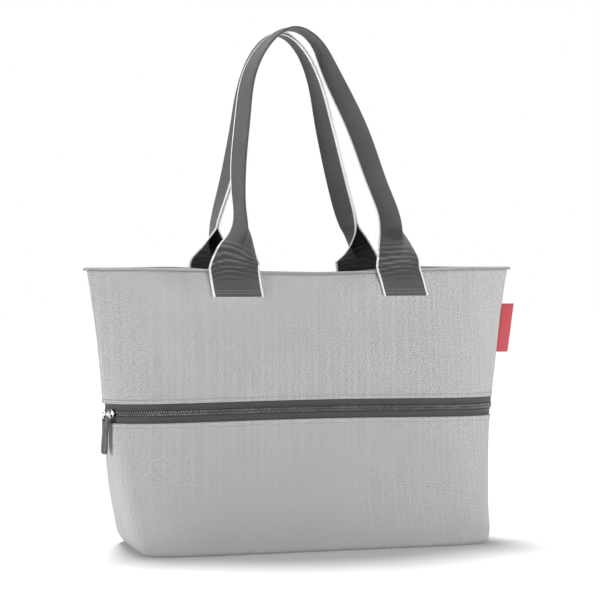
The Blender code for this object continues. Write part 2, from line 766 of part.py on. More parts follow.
def half_section(open_deg):
    """Points of half the webbing from the fold outward: sideways, inward and the way each faces."""
    final = math.radians(90 - open_deg)
    half = WEBBING_WIDTH / 2
    steps = 240
    sideways = 0.0
    inward = 0.0
    wanted = [share * half for share in reversed(HALF_WEBBING_SHARES)]
    found = []
    for i in range(1, steps * 4 + 1):
        run = half * i / (steps * 4)
        angle = final * min(run / FOLD_RAMP, 1.0)
        sideways += math.cos(angle) * half / (steps * 4)
        inward += math.sin(angle) * half / (steps * 4)
        while wanted and run >= wanted[0] - 1e-9:
            found.append((sideways, inward, angle))
            wanted.pop(0)
    return found


def strap(table, side):
    """One strap of webbing, flat on its panel at both bases and folded lengthwise between them."""
    path = strap_path(table)
    points = [Vector(row[:3]) for row in path]
    thick = WEBBING_THICKNESS / 2
    folds = FRONT_FOLDS if side < 0 else BACK_FOLDS
    sections = []
    for i, row in enumerate(path):
        open_deg, turn_deg, lie = row[3], row[4], min(max(row[5], 0.0), 1.0)
        along = (points[min(i + 1, len(points) - 1)] - points[max(i - 1, 0)]).normalized()
        turn = math.radians(turn_deg)
        inward = Vector((-math.sin(turn), math.cos(turn), 0.0))
        inward = (inward - inward.dot(along) * along).normalized()
        across = inward.cross(along)
        half = half_section(min(max(open_deg, 2.0), 90.0))
        line = [(-s, d, -a) for s, d, a in reversed(half)] + [(0.0, 0.0, 0.0)] + list(half)
        outer = []
        inner = []
        for s, d, a in line:
            middle = points[i] + s * across + d * inward
            normal = math.sin(a) * across - math.cos(a) * inward
            free = (middle + thick * normal, middle - thick * normal)
            on_panel = panel_points(points[i], s, across, row[2], thick, folds)
            outer.append(on_panel[0].lerp(free[0], 1 - lie))
            inner.append(on_panel[1].lerp(free[1], 1 - lie))
        sections.append(outer + inner[::-1])
    if side > 0:
        sections = [[Vector((p.x, -p.y, p.z)) for p in section] for section in sections]
    return bar_solid(sections)


def panel_points(middle, sideways, across, height, thick, folds):
    """The webbing's outer and inner points where it lies on the front panel, this far to the side."""
    x = middle.x + sideways * (1 if across.x >= 0 else -1)
    level = min(height, BAG_HEIGHT)
    # The strap stands a little farther off the panel where it passes over the binding.
    over = min(max((height - (BAG_HEIGHT - STRAP_STEP_START)) / STRAP_STEP_LENGTH, 0.0), 1.0)
    off = PIECE_GAP + over * (BINDING_SKIN + PIECE_GAP)
    made = []
    for outward in (off + 2 * thick, off):
        ring = front_outline(level, outward, 0.0, None, folds)
        y = float(np.interp(x, ring[:, 0], ring[:, 1]))
        made.append(Vector((x, y, height)))
    return made


def label_tab():
    """The folded cloth tab sewn into the right side seam, standing out from it."""
    bottom = LABEL_MIDDLE - LABEL_HEIGHT / 2
    top = LABEL_MIDDLE + LABEL_HEIGHT / 2
    half = LABEL_THICKNESS / 2
    rows = []
    for share in (0.0, 0.5, 1.0):
        height = bottom + share * (top - bottom)
        seam = seam_x(height, 1) + PIECE_GAP
        end = seam + LABEL_REACH
        rows.append(
            [
                (seam, -half, height),
                (end - half, -half, height),
                (end, -half * 0.4, height),
                (end, half * 0.4, height),
                (end - half, half, height),
                (seam, half, height),
            ]
        )
    return bar_solid(rows)


def main():
    clear_scene()
    bag = new_collection("shopper_bag")
    cutters = new_collection("cutters", hidden=True)
    fabric = plain_material("woven_fabric", (0.62, 0.62, 0.62), 0.9)
    lower_fabric = plain_material("woven_fabric_lower", (0.62, 0.62, 0.62), 0.9)
    base_cloth = plain_material("base_fabric", (0.55, 0.55, 0.55), 0.9)
    binding = plain_material("binding", (0.36, 0.35, 0.36), 0.85)
    tape = plain_material("zip_tape", (0.10, 0.10, 0.105), 0.85)
    coil = plain_material("zip_coil", (0.13, 0.13, 0.14), 0.5)
    metal = plain_material("nickel", (0.80, 0.79, 0.77), 0.22, 1.0)
    rubber = plain_material("moulded_rubber", (0.08, 0.08, 0.085), 0.6)
    webbing = plain_material("webbing", (0.13, 0.125, 0.13), 0.85)
    red = plain_material("label_cloth", (0.62, 0.05, 0.06), 0.8)

    add_piece("front_upper_panel", upper_panel(-1), fabric, bag)
    add_piece("back_upper_panel", upper_panel(1), fabric, bag)
    add_piece("front_lower_panel", lower_panel(-1), lower_fabric, bag)
    add_piece("back_lower_panel", lower_panel(1), lower_fabric, bag)
    add_piece("base_panel", base_panel(), base_cloth, bag, smooth=False)
    add_piece("rim_binding", rim_binding(), binding, bag)
    add_piece("zip_tape_upper", zip_tape(1), tape, bag, smooth=False)
    add_piece("zip_tape_lower", zip_tape(-1), tape, bag, smooth=False)
    add_piece("zip_chain", zip_chain(), coil, bag)
    slider = add_piece("zip_slider", slider_block(), metal, bag, smooth=False)
    bridge = add_piece("bridge_joined_to_slider", slider_bridge(), metal, cutters)
    bridge.hide_render = True
    bridge.display_type = "WIRE"
    join_pieces(slider, bridge)
    move = slider_move()
    for piece in (slider, bridge):
        piece.data.transform(move)
    add_piece("front_strap", strap(FRONT_STRAP, -1), webbing, bag)
    add_piece("back_strap", strap(BACK_STRAP, 1), webbing, bag)
    add_piece("label_tab", label_tab(), red, bag, smooth=False)

    # The pull turns about the bridge, so its pieces have their origin on the bridge's middle line.
    ring = add_piece("pull_ring", pull_ring(), metal, bag)
    tab = add_piece("pull_tab", pull_tab(), rubber, bag)
    hole = add_piece("tab_hole", tab_hole_cutter(), rubber, cutters)
    hole.hide_render = True
    hole.display_type = "WIRE"
    cut_piece(tab, hole)
    axis = move @ bridge_axis()
    hole.data.transform(move)
    for piece in (ring, tab):
        piece.data.transform(Matrix.Translation(-axis) @ move)
        piece.location = axis


main()
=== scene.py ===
# A soft shopper bag in herringbone cloth with a zip band and two webbing straps, dressed for a render.
# Metres. The floor is z = 0, +Z is up, the front faces -Y and +X is to the right of the front.
import math

import bpy
import numpy as np
from mathutils import Matrix, Vector


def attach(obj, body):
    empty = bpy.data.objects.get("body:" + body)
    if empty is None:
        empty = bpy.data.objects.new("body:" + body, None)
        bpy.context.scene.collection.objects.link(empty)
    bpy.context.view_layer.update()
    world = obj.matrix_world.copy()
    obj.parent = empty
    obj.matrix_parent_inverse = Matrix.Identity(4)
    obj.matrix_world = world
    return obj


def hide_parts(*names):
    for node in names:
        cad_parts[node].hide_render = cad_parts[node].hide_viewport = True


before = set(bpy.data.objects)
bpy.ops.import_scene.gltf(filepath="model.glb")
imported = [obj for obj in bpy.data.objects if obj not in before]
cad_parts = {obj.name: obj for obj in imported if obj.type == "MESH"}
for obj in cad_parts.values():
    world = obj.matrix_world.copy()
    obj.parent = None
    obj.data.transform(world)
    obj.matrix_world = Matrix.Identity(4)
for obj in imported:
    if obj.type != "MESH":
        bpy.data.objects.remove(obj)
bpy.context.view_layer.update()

MM = 0.001

# Sizes that the solids have too
TOP_WIDTH = 400 * MM
BAG_HEIGHT = 250 * MM
BASE_DEPTH = 129 * MM
FABRIC = 1.8 * MM
PIECE_GAP = 0.4 * MM
FOOT_RADIUS = 5 * MM
BASE_THICKNESS = 1.8 * MM
BASE_PANEL_INSET = 0.924 * MM
BINDING_DROP = 3.2 * MM
BINDING_SKIN = 0.9 * MM
ZIP_HEIGHT = 122 * MM
ZIP_OPENING = 17.4 * MM
CHAIN_WIDTH = 5.0 * MM
CHAIN_THICKNESS = 2.0 * MM
CHAIN_RECESS = 1.2 * MM
TAPE_THICKNESS = 0.8 * MM
TAPE_HIDDEN = 3.0 * MM
TAPE_TO_CHAIN = 0.35 * MM
SLIDER_FROM_SEAM = 13 * MM
SLIDER_LENGTH = 11 * MM
SLIDER_PLATE = 1.2 * MM
SLIDER_WIDTH = 8.4 * MM
SLIDER_SLOT_SLACK = 1.7 * MM
BRIDGE_WIRE = 1.1 * MM
BRIDGE_RISE = 3.2 * MM
BRIDGE_SPAN = 8.0 * MM
BRIDGE_WIDTH = 2.0 * MM
BRIDGE_FOOT = 0.5 * MM
WEDGE_SET_BACK = -0.1 * MM
WEDGE_HALF_LENGTH = 4.6 * MM
WEDGE_HALF_WIDTH = 1.0 * MM
RING_RADIUS = 3.0 * MM
RING_WIRE = 1.2 * MM
RING_ARM = 1.5 * MM
RING_LEAN_DEG = 30.0
TAB_LENGTH = 34 * MM
TAB_WIDTH = 8.0 * MM
TAB_THICKNESS = 3.0 * MM
TAB_HOLE = 3.2 * MM
TAB_HOLE_BELOW_TOP = 3.0 * MM
RING_IN_HOLE_GAP = 0.3 * MM
TAB_TILT_DEG = 3.0
WEBBING_WIDTH = 44 * MM
WEBBING_THICKNESS = 1.7 * MM
STRAP_HALF_SPACING = 76 * MM
STRAP_RISE = 216.3 * MM
STRAP_PATCH = 25.5 * MM
STRAP_TOP_GAP = 3 * MM
STRAP_STEP_START = 16 * MM
STRAP_STEP_LENGTH = 10 * MM
RIM_SAG = 6 * MM
FOLD_DEPTH = 2 * MM
FOLD_FADE = 9 * MM
LABEL_REACH = 10.4 * MM
LABEL_HEIGHT = 45 * MM
LABEL_THICKNESS = 1.0 * MM
LABEL_MIDDLE = 193 * MM
LABEL_SEWN_IN = 1.2 * MM
LABEL_BOW = 0.5 * MM
LABEL_STITCH_IN = 1.6 * MM

# Sizes and settings that only this script has
BINDING_OUT = 0.55 * BINDING_SKIN + PIECE_GAP
PANEL_COLUMNS = 220
RING_COLUMNS = 420
SEAM_OPEN = 0.5 * MM
SEAM_DIP = 1.4 * MM
SEAM_DIP_WIDTH = 1.7 * MM
ZIP_LIFT = 3.5 * MM
ZIP_PROUD = 2.4 * MM
ZIP_PROUD_WIDTH = 11 * MM
HEM_TURN = 0.9 * MM
HEM_STITCH_IN = 3.4 * MM
HEM_SWELL = 0.35 * MM
HEM_FALL = 1.2 * MM
HEM_PRESS = 0.45 * MM
HEM_PRESS_WIDTH = 0.55 * MM
TOOTH_PITCH = 2.15 * MM
TOOTH_REACH = 1.35 * MM
STITCH_LENGTH = 2.3 * MM
STITCH_PITCH = 2.9 * MM
STITCH_RADIUS = 0.24 * MM
TRIM_SWELL = 0.2 * MM
STRAP_STATIONS = 700
BASE_STATIONS = 200
# The next two darken the straps' colour as painted shade: in the valleys of their small folds, and in a
# broad band just above the rim.
CREASE_SHADE = 1.9
FOLD_BAND_PAINTED_SHADE = 0.35
SHOWN_THICKNESS = 0.95 * MM
SHOWN_RAMP = 1.1 * MM
BASE_HEM = 5.0 * MM
BASE_HEM_SWELL = 0.45 * MM
HERRINGBONE_COLUMN = 6.1 * MM
HERRINGBONE_PITCH = 2.25 * MM
HERRINGBONE_SLANT = 2.2
SURROUND_LIGHT = 0.15
FRONT_WATTS = 39.0
LEFT_WATTS = 40.0
FRONT_LIGHT_AT = (1.6, -1.75, 0.36)
LEFT_LIGHT_AT = (-2.4, -0.3, 0.36)
SOFTBOX_SIZE = 0.6
SOFTBOX_TARGET = (0.0, 0.0, 0.2)
ABOVE_STRENGTH = 3.6
ABOVE_SPREAD_DEG = 24.0
ABOVE_FROM = (-0.02, 0.36, 1.0)
SURROUND_SEEN = 1.0
FLOOR_REACH = 6.0
CAMERA_AT = (-0.5006, -1.729, 0.265)
CAMERA_DOWN_DEG = 1.43
CAMERA_TURN_DEG = -16.0
CAMERA_LENS = 119.2
CAMERA_SENSOR = 36.0

# The body's outline at each height: shares of BAG_HEIGHT, TOP_WIDTH and BASE_DEPTH,
# then how square the outline is towards its ends and across its face, and how far the soft bag has
# sagged sideways there as a share of TOP_WIDTH.
# Columns: height, width, depth, end_power, face_power, shift.
BODY_SECTIONS = (
    (0.00, 0.800, 0.975, 7.0, 9.00, 0.0015),
    (0.04, 0.822, 0.982, 7.0, 8.00, -0.0030),
    (0.10, 0.835, 0.975, 6.6, 6.20, -0.0070),
    (0.22, 0.860, 0.945, 5.6, 4.20, -0.0120),
    (0.38, 0.892, 0.895, 4.6, 2.30, -0.0115),
    (0.49, 0.910, 0.860, 4.2, 1.70, -0.0083),
    (0.66, 0.937, 0.815, 3.6, 1.25, -0.0055),
    (0.84, 0.967, 0.770, 3.0, 1.05, -0.0050),
    (1.00, 0.999, 0.735, 2.3, 1.00, -0.0045),
)

# How far the rim stands above or below BAG_HEIGHT, as shares of RIM_SAG, by share of the way from the
# middle to the side seam.
# Columns: from_middle, front, back.
RIM_TABLE = (
    (0.00, -0.68, -1.10),
    (0.30, -0.45, -0.75),
    (0.50, -0.20, -0.05),
    (0.80, 0.00, -0.02),
    (1.00, 0.00, 0.00),
)

# Each strap's folded edge from the left base over the top to the right base. across is a share of
# STRAP_HALF_SPACING. out is 1 where the strap passes the rim and 0 where both straps meet at the top.
# up is a share of STRAP_RISE above the rim, or of STRAP_PATCH below it. open_deg is how far each half
# swings out from the fold, 90 being flat. turn_deg turns the folded band about the vertical. lie is 1
# where the strap lies on the panel and 0 where it is free.
# Columns: across, out, up, open_deg, turn_deg, lie.
FRONT_STRAP = (
    (-0.972, 0.95, -1.000, 90, -9, 1.0),
    (-0.999, 0.93, -0.470, 90, -9, 1.0),
    (-1.018, 0.92, 0.005, 86, -9, 1.0),
    (-0.975, 0.99, 0.051, 62, -4, 0.2),
    (-0.918, 1.00, 0.098, 40, 0, 0.0),
    (-0.878, 0.97, 0.163, 21, 5, 0.0),
    (-0.900, 0.90, 0.233, 5, 9, 0.0),
    (-0.896, 0.80, 0.336, 1, 17, 0.0),
    (-0.822, 0.57, 0.583, 1, 21, 0.0),
    (-0.690, 0.29, 0.828, 1, 15, 0.0),
    (-0.478, 0.11, 0.940, 1, 8, 0.0),
    (-0.217, 0.00, 1.000, 1, 0, 0.0),
    (0.073, 0.11, 0.946, 1, 10, 0.0),
    (0.262, 0.27, 0.828, 1, 27, 0.0),
    (0.600, 0.57, 0.583, 1, 37, 0.0),
    (0.838, 0.80, 0.336, 1, 34, 0.0),
    (0.958, 0.92, 0.224, 12, 28, 0.0),
    (0.989, 0.98, 0.163, 30, 18, 0.0),
    (0.996, 1.00, 0.098, 50, 12, 0.0),
    (0.985, 0.99, 0.051, 68, 9, 0.2),
    (0.972, 0.92, 0.005, 86, 9, 1.0),
    (1.026, 0.93, -0.470, 90, 9, 1.0),
    (1.070, 0.95, -1.000, 90, 9, 1.0),
)
BACK_STRAP = (
    (-1.033, 0.95, -1.000, 90, -9, 1.0),
    (-1.021, 0.93, -0.470, 90, -9, 1.0),
    (-1.008, 0.92, 0.012, 82, -9, 1.0),
    (-1.011, 0.99, 0.056, 48, -6, 0.2),
    (-1.008, 1.00, 0.117, 20, -4, 0.0),
    (-1.003, 0.97, 0.173, 1, -4, 0.0),
    (-0.976, 0.90, 0.233, 1, -9, 0.0),
    (-0.903, 0.79, 0.350, 1, -17, 0.0),
    (-0.797, 0.59, 0.560, 1, -19, 0.0),
    (-0.678, 0.31, 0.807, 1, -14, 0.0),
    (-0.533, 0.12, 0.924, 1, -7, 0.0),
    (-0.296, 0.00, 0.992, 1, 0, 0.0),
    (-0.046, 0.12, 0.938, 1, -5, 0.0),
    (0.129, 0.28, 0.826, 1, -14, 0.0),
    (0.284, 0.56, 0.597, 1, -34, 0.0),
    (0.480, 0.80, 0.327, 1, -44, 0.0),
    (0.579, 0.92, 0.219, 1, -44, 0.0),
    (0.655, 0.97, 0.159, 4, -32, 0.0),
    (0.750, 1.00, 0.103, 25, -14, 0.0),
    (0.813, 0.99, 0.056, 48, 0, 0.2),
    (0.861, 0.92, 0.009, 82, 9, 1.0),
    (0.882, 0.93, -0.470, 90, 9, 1.0),
    (0.908, 0.95, -1.000, 90, 9, 1.0),
)

# Soft folds in the cloth: where their middle is along the cloth from the middle of the panel and in
# height, their half width and half height, how far they stand out as shares of FOLD_DEPTH, and how
# far they lean sideways over their height. Widths are shares of TOP_WIDTH and heights of BAG_HEIGHT.
# Columns: along, height, half_width, half_height, out, lean.
FRONT_FOLDS = (
    (-0.440, 0.700, 0.020, 0.300, 0.45, -0.15),
    (-0.355, 0.730, 0.034, 0.240, -1.20, -0.12),
    (-0.290, 0.720, 0.050, 0.240, 0.35, -0.10),
    (-0.315, 0.925, 0.050, 0.060, 1.10, -0.30),
    (-0.090, 0.920, 0.030, 0.050, 0.60, 0.30),
    (0.060, 0.860, 0.050, 0.100, 0.50, 0.10),
    (0.085, 0.930, 0.045, 0.055, 1.00, 0.40),
    (0.330, 0.800, 0.045, 0.150, -0.50, 0.15),
    (-0.385, 0.160, 0.022, 0.150, -0.80, -0.10),
    (-0.120, 0.280, 0.070, 0.180, -0.35, 0.05),
    (0.150, 0.250, 0.080, 0.160, 0.40, 0.00),
    (0.380, 0.240, 0.030, 0.180, -0.45, 0.06),
)
BACK_FOLDS = (
    (-0.380, 0.760, 0.032, 0.220, -0.70, -0.14),
    (0.360, 0.780, 0.034, 0.200, -0.60, 0.16),
    (-0.080, 0.850, 0.055, 0.120, 0.50, -0.10),
    (0.180, 0.900, 0.040, 0.070, 0.40, 0.30),
    (0.120, 0.260, 0.080, 0.170, -0.40, 0.00),
    (-0.200, 0.220, 0.070, 0.160, 0.40, 0.05),
    (0.370, 0.180, 0.022, 0.150, -0.50, 0.10),
)


# Shapes


def between(table, at):
    """The other columns at each value of the first, on smooth curves through the table's rows."""
    rows = np.array(table, dtype=float)
    keys = rows[:, 0]
    at = np.clip(np.atleast_1d(at), keys[0], keys[-1])
    slopes = np.gradient(rows[:, 1:], keys, axis=0)
    after = np.clip(np.searchsorted(keys, at), 1, len(keys) - 1)
    before = after - 1
    span = (keys[after] - keys[before])[:, None]
    t = (at - keys[before])[:, None] / span
    return (
        (2 * t**3 - 3 * t**2 + 1) * rows[before, 1:]
        + (t**3 - 2 * t**2 + t) * span * slopes[before]
        + (3 * t**2 - 2 * t**3) * rows[after, 1:]
        + (t**3 - t**2) * span * slopes[after]
    )


def flat_run(x, y):
    """How far each point of a level path is along it."""
    return np.concatenate([[0], np.cumsum(np.hypot(np.diff(x), np.diff(y)))])


def path_run(points):
    """How far each point of a path in space is along it."""
    return np.concatenate([[0], np.cumsum(np.linalg.norm(np.diff(points, axis=0), axis=1))])


def full_turn(count):
    """Equal steps of angle once round."""
    return np.linspace(0, 2 * np.pi, count, endpoint=False)


def raised(values, power):
    """The values to a power, each with its own sign kept."""
    return np.sign(values) * np.abs(values) ** power


def on_cloth(across, along, shade=0.0):
    """Places on the cloth, a row for each point, with the painted shade of its folds there."""
    return np.column_stack(np.broadcast_arrays(across, along, shade))


def body_at(height):
    """The outline here: half width and half depth in metres, two powers and a sideways shift."""
    width, depth, end_power, face_power, shift = between(BODY_SECTIONS, height / BAG_HEIGHT)[0]
    return width * TOP_WIDTH / 2, depth * BASE_DEPTH / 2, end_power, face_power, shift * TOP_WIDTH


def seam_x(height, side):
    """Where the left seam, side -1, or the right seam, side 1, is at this height."""
    return side * body_at(height)[0] + body_at(height)[4]


def seam_share(x, height):
    """How far these places are from the middle of the bag towards its side seams, as a share."""
    return (x - body_at(height)[4]) / body_at(height)[0]


def fine_outline(height):
    """Close points of the front half of the outline from the left seam to the right seam."""
    half_width, half_depth, end_power, face_power, shift = body_at(height)
    steps = np.linspace(0, 1, 240)
    turn_x = 0.5 ** (1 / end_power)
    turn_y = 0.5 ** (1 / face_power)
    flat_x = turn_x * steps
    flat_y = (1 - flat_x**end_power) ** (1 / face_power)
    side_y = turn_y * (1 - steps[1:])
    side_x = (1 - side_y**face_power) ** (1 / end_power)
    x = half_width * np.concatenate([flat_x, side_x])
    y = -half_depth * np.concatenate([flat_y, side_y])
    return shift + np.concatenate([-x[:0:-1], x]), np.concatenate([y[:0:-1], y])


def front_curve(height, outward, shares, seam_gap=SEAM_OPEN / 2, relief=None):
    """Points of the outline's front half, moved outward, and how far each is along the cloth."""
    x, y = fine_outline(height)
    run = flat_run(x, y)
    tangent = np.stack([np.gradient(x, run), np.gradient(y, run)], axis=1)
    tangent /= np.linalg.norm(tangent, axis=1)[:, None]
    along = run - run[-1] / 2
    amount = np.full(len(x), float(outward))
    if relief is not None:
        amount = amount + relief(along, height, run[-1] / 2)
    mx = x + amount * tangent[:, 1]
    my = y - amount * tangent[:, 0]
    inside = my <= -seam_gap
    first = int(np.argmax(inside))
    last = len(inside) - 1 - int(np.argmax(inside[::-1]))
    mx, my, along, tangent = (values[first : last + 1] for values in (mx, my, along, tangent))
    start = (-seam_gap - my[0]) / tangent[0, 1]
    end = (-seam_gap - my[-1]) / tangent[-1, 1]
    mx = np.concatenate([[mx[0] + start * tangent[0, 0]], mx, [mx[-1] + end * tangent[-1, 0]]])
    my = np.concatenate([[-seam_gap], my, [-seam_gap]])
    along = np.concatenate([[along[0] + start], along, [along[-1] + end]])
    moved = flat_run(mx, my)
    wanted = shares * moved[-1]
    points = np.stack([np.interp(wanted, moved, mx), np.interp(wanted, moved, my)], axis=1)
    return points, np.interp(wanted, moved, along)


def ring_curve(height, outward, count, relief=None):
    """The whole outline as one ring: the front from left to right, then the back the other way."""
    half = count // 2
    front, along = front_curve(height, outward, np.linspace(0, 1, half + 1), 0.0, relief)
    back = front[::-1].copy()
    back[:, 1] *= -1
    points = np.concatenate([front[:-1], back[:-1]])
    length = along[-1] - along[0]
    around = np.concatenate([along[:-1], length - along[::-1][:-1]])
    side = np.concatenate([-np.ones(half), np.ones(half)])
    return points, around, side


def rim_change(x_share, side):
    """How far the rim stands above BAG_HEIGHT here; side is -1 for the front and 1 for the back."""
    both = between(RIM_TABLE, np.clip(np.abs(x_share), 0, 1))
    return np.where(np.asarray(side) < 0, both[:, 0], both[:, 1]) * RIM_SAG


def zip_lift(x, height=ZIP_HEIGHT):
    """How far the zip band stands above its own height here: more towards each face's middle."""
    return ZIP_LIFT * (1 - np.clip(np.abs(seam_share(x, height)), 0, 1) ** 2)


def fold_relief(folds):
    """A function that gives how far soft folds and the side seam move the cloth outward."""

    def relief(along, height, half_run):
        moved = -SEAM_DIP * np.exp(-(((half_run - np.abs(along)) / SEAM_DIP_WIDTH) ** 2))
        clear_of_zip = abs(height - ZIP_HEIGHT) - ZIP_OPENING / 2 - TAPE_HIDDEN
        clear = min(BAG_HEIGHT - BINDING_DROP - height, clear_of_zip, height - FOOT_RADIUS)
        fade = min(max(clear / FOLD_FADE, 0.0), 1.0)
        for middle, level, half_width, half_height, out, lean in folds:
            rise = height - level * BAG_HEIGHT
            centre = middle * TOP_WIDTH + lean * rise
            sideways = (along - centre) / (half_width * TOP_WIDTH)
            upward = rise / (half_height * BAG_HEIGHT)
            moved = moved + fade * out * FOLD_DEPTH * np.exp(-(sideways**2) - upward**2)
        return moved

    return relief


# Meshes


def link_mesh(name, points, faces, materials, face_materials=None, cloth=None):
    """A smooth mesh object. cloth is each point's place on its cloth in metres, for the weave."""
    data = bpy.data.meshes.new(name)
    data.from_pydata([tuple(p) for p in np.asarray(points).tolist()], [], faces)
    for material in materials:
        data.materials.append(material)
    if face_materials is not None:
        data.polygons.foreach_set("material_index", np.asarray(face_materials, dtype=np.int32))
    data.polygons.foreach_set("use_smooth", np.ones(len(data.polygons), dtype=bool))
    if cloth is not None:
        place = data.attributes.new("cloth", "FLOAT_VECTOR", "POINT")
        place.data.foreach_set("vector", np.asarray(cloth, dtype=np.float32).ravel())
    data.update()
    made = bpy.data.objects.new(name, data)
    bpy.context.scene.collection.objects.link(made)
    return made


def loft(name, sections, materials, segment_materials=None, cloth=None, closed_along=False, caps=True):
    """A solid through equal closed sections, an array of sections by points by 3."""
    sections = np.asarray(sections, dtype=float)
    count, size = sections.shape[:2]
    i = np.arange(count if closed_along else count - 1)[:, None]
    j = np.arange(size)[None, :]
    after_i = (i + 1) % count
    after_j = (j + 1) % size
    corners = (i * size + j, after_i * size + j, after_i * size + after_j, i * size + after_j)
    quads = np.stack(np.broadcast_arrays(*corners), -1)
    faces = quads.reshape(-1, 4).tolist()
    face_materials = None
    if segment_materials is not None:
        face_materials = list(np.tile(segment_materials, len(i)))
    if caps and not closed_along:
        faces.append(list(range(size)))
        faces.append([(count - 1) * size + k for k in reversed(range(size))])
        if face_materials is not None:
            face_materials += [segment_materials[0]] * 2
    made = link_mesh(name, sections.reshape(-1, 3), faces, materials, face_materials, cloth)
    turn_outward(made)
    return made


def turn_outward(made):
    """Turns all faces round if the closed mesh is inside out."""
    data = made.data
    points = np.empty(len(data.vertices) * 3)
    data.vertices.foreach_get("co", points)
    points = points.reshape(-1, 3)
    data.calc_loop_triangles()
    corners = np.empty(len(data.loop_triangles) * 3, dtype=np.int32)
    data.loop_triangles.foreach_get("vertices", corners)
    a, b, c = (points[corners[k::3]] for k in range(3))
    volume = np.einsum("ij,ij->i", a, np.cross(b, c)).sum()
    if volume < 0:
        data.flip_normals()


def copies(name, base_points, base_faces, places, material):
    """One joined mesh of a small shape set at many places, each an origin and three axes."""
    base = np.asarray(base_points)
    count = len(base)
    points = np.concatenate([origin + base @ np.asarray(axes) for origin, axes in places])
    faces = [[k + n * count for k in face] for n in range(len(places)) for face in base_faces]
    return link_mesh(name, points, faces, [material])


def capsule(length, radius, sides=6):
    """A small rounded bar along its first axis, as points and faces."""
    stations = ((-1.0, 0.0), (-0.86, 0.7), (-0.45, 1.0), (0.45, 1.0), (0.86, 0.7), (1.0, 0.0))
    points = []
    for along, wide in stations:
        for k in range(sides):
            turn = 2 * math.pi * k / sides
            across = max(wide, 0.05) * radius
            points.append((along * length / 2, across * math.cos(turn), across * math.sin(turn)))
    faces = []
    for i in range(len(stations) - 1):
        for k in range(sides):
            low = i * sides
            after = (k + 1) % sides
            faces.append([low + k, low + after, low + sides + after, low + sides + k])
    faces.append(list(reversed(range(sides))))
    faces.append([(len(stations) - 1) * sides + k for k in range(sides)])
    return points, faces


def stitches(name, paths, material, body="bag"):
    """Thread stitches along each path, its points given with the outward direction at each."""
    base_points, base_faces = capsule(STITCH_LENGTH, STITCH_RADIUS)
    places = []
    for path, outward in paths:
        path = np.asarray(path, dtype=float)
        outward = np.asarray(outward, dtype=float)
        run = path_run(path)
        count = max(int(run[-1] / STITCH_PITCH), 1)
        for n in range(count):
            middle = (n + 0.5) * run[-1] / count
            ends = [
                np.array([np.interp(middle + d, run, path[:, k]) for k in range(3)])
                for d in (-STITCH_LENGTH / 2, STITCH_LENGTH / 2)
            ]
            up = np.array([np.interp(middle, run, outward[:, k]) for k in range(3)])
            first = ends[1] - ends[0]
            first /= np.linalg.norm(first)
            up -= up.dot(first) * first
            up /= np.linalg.norm(up)
            places.append(((ends[0] + ends[1]) / 2, (first, np.cross(up, first), up)))
    made = copies(name, base_points, base_faces, places, material)
    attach(made, body)
    return made


# Materials


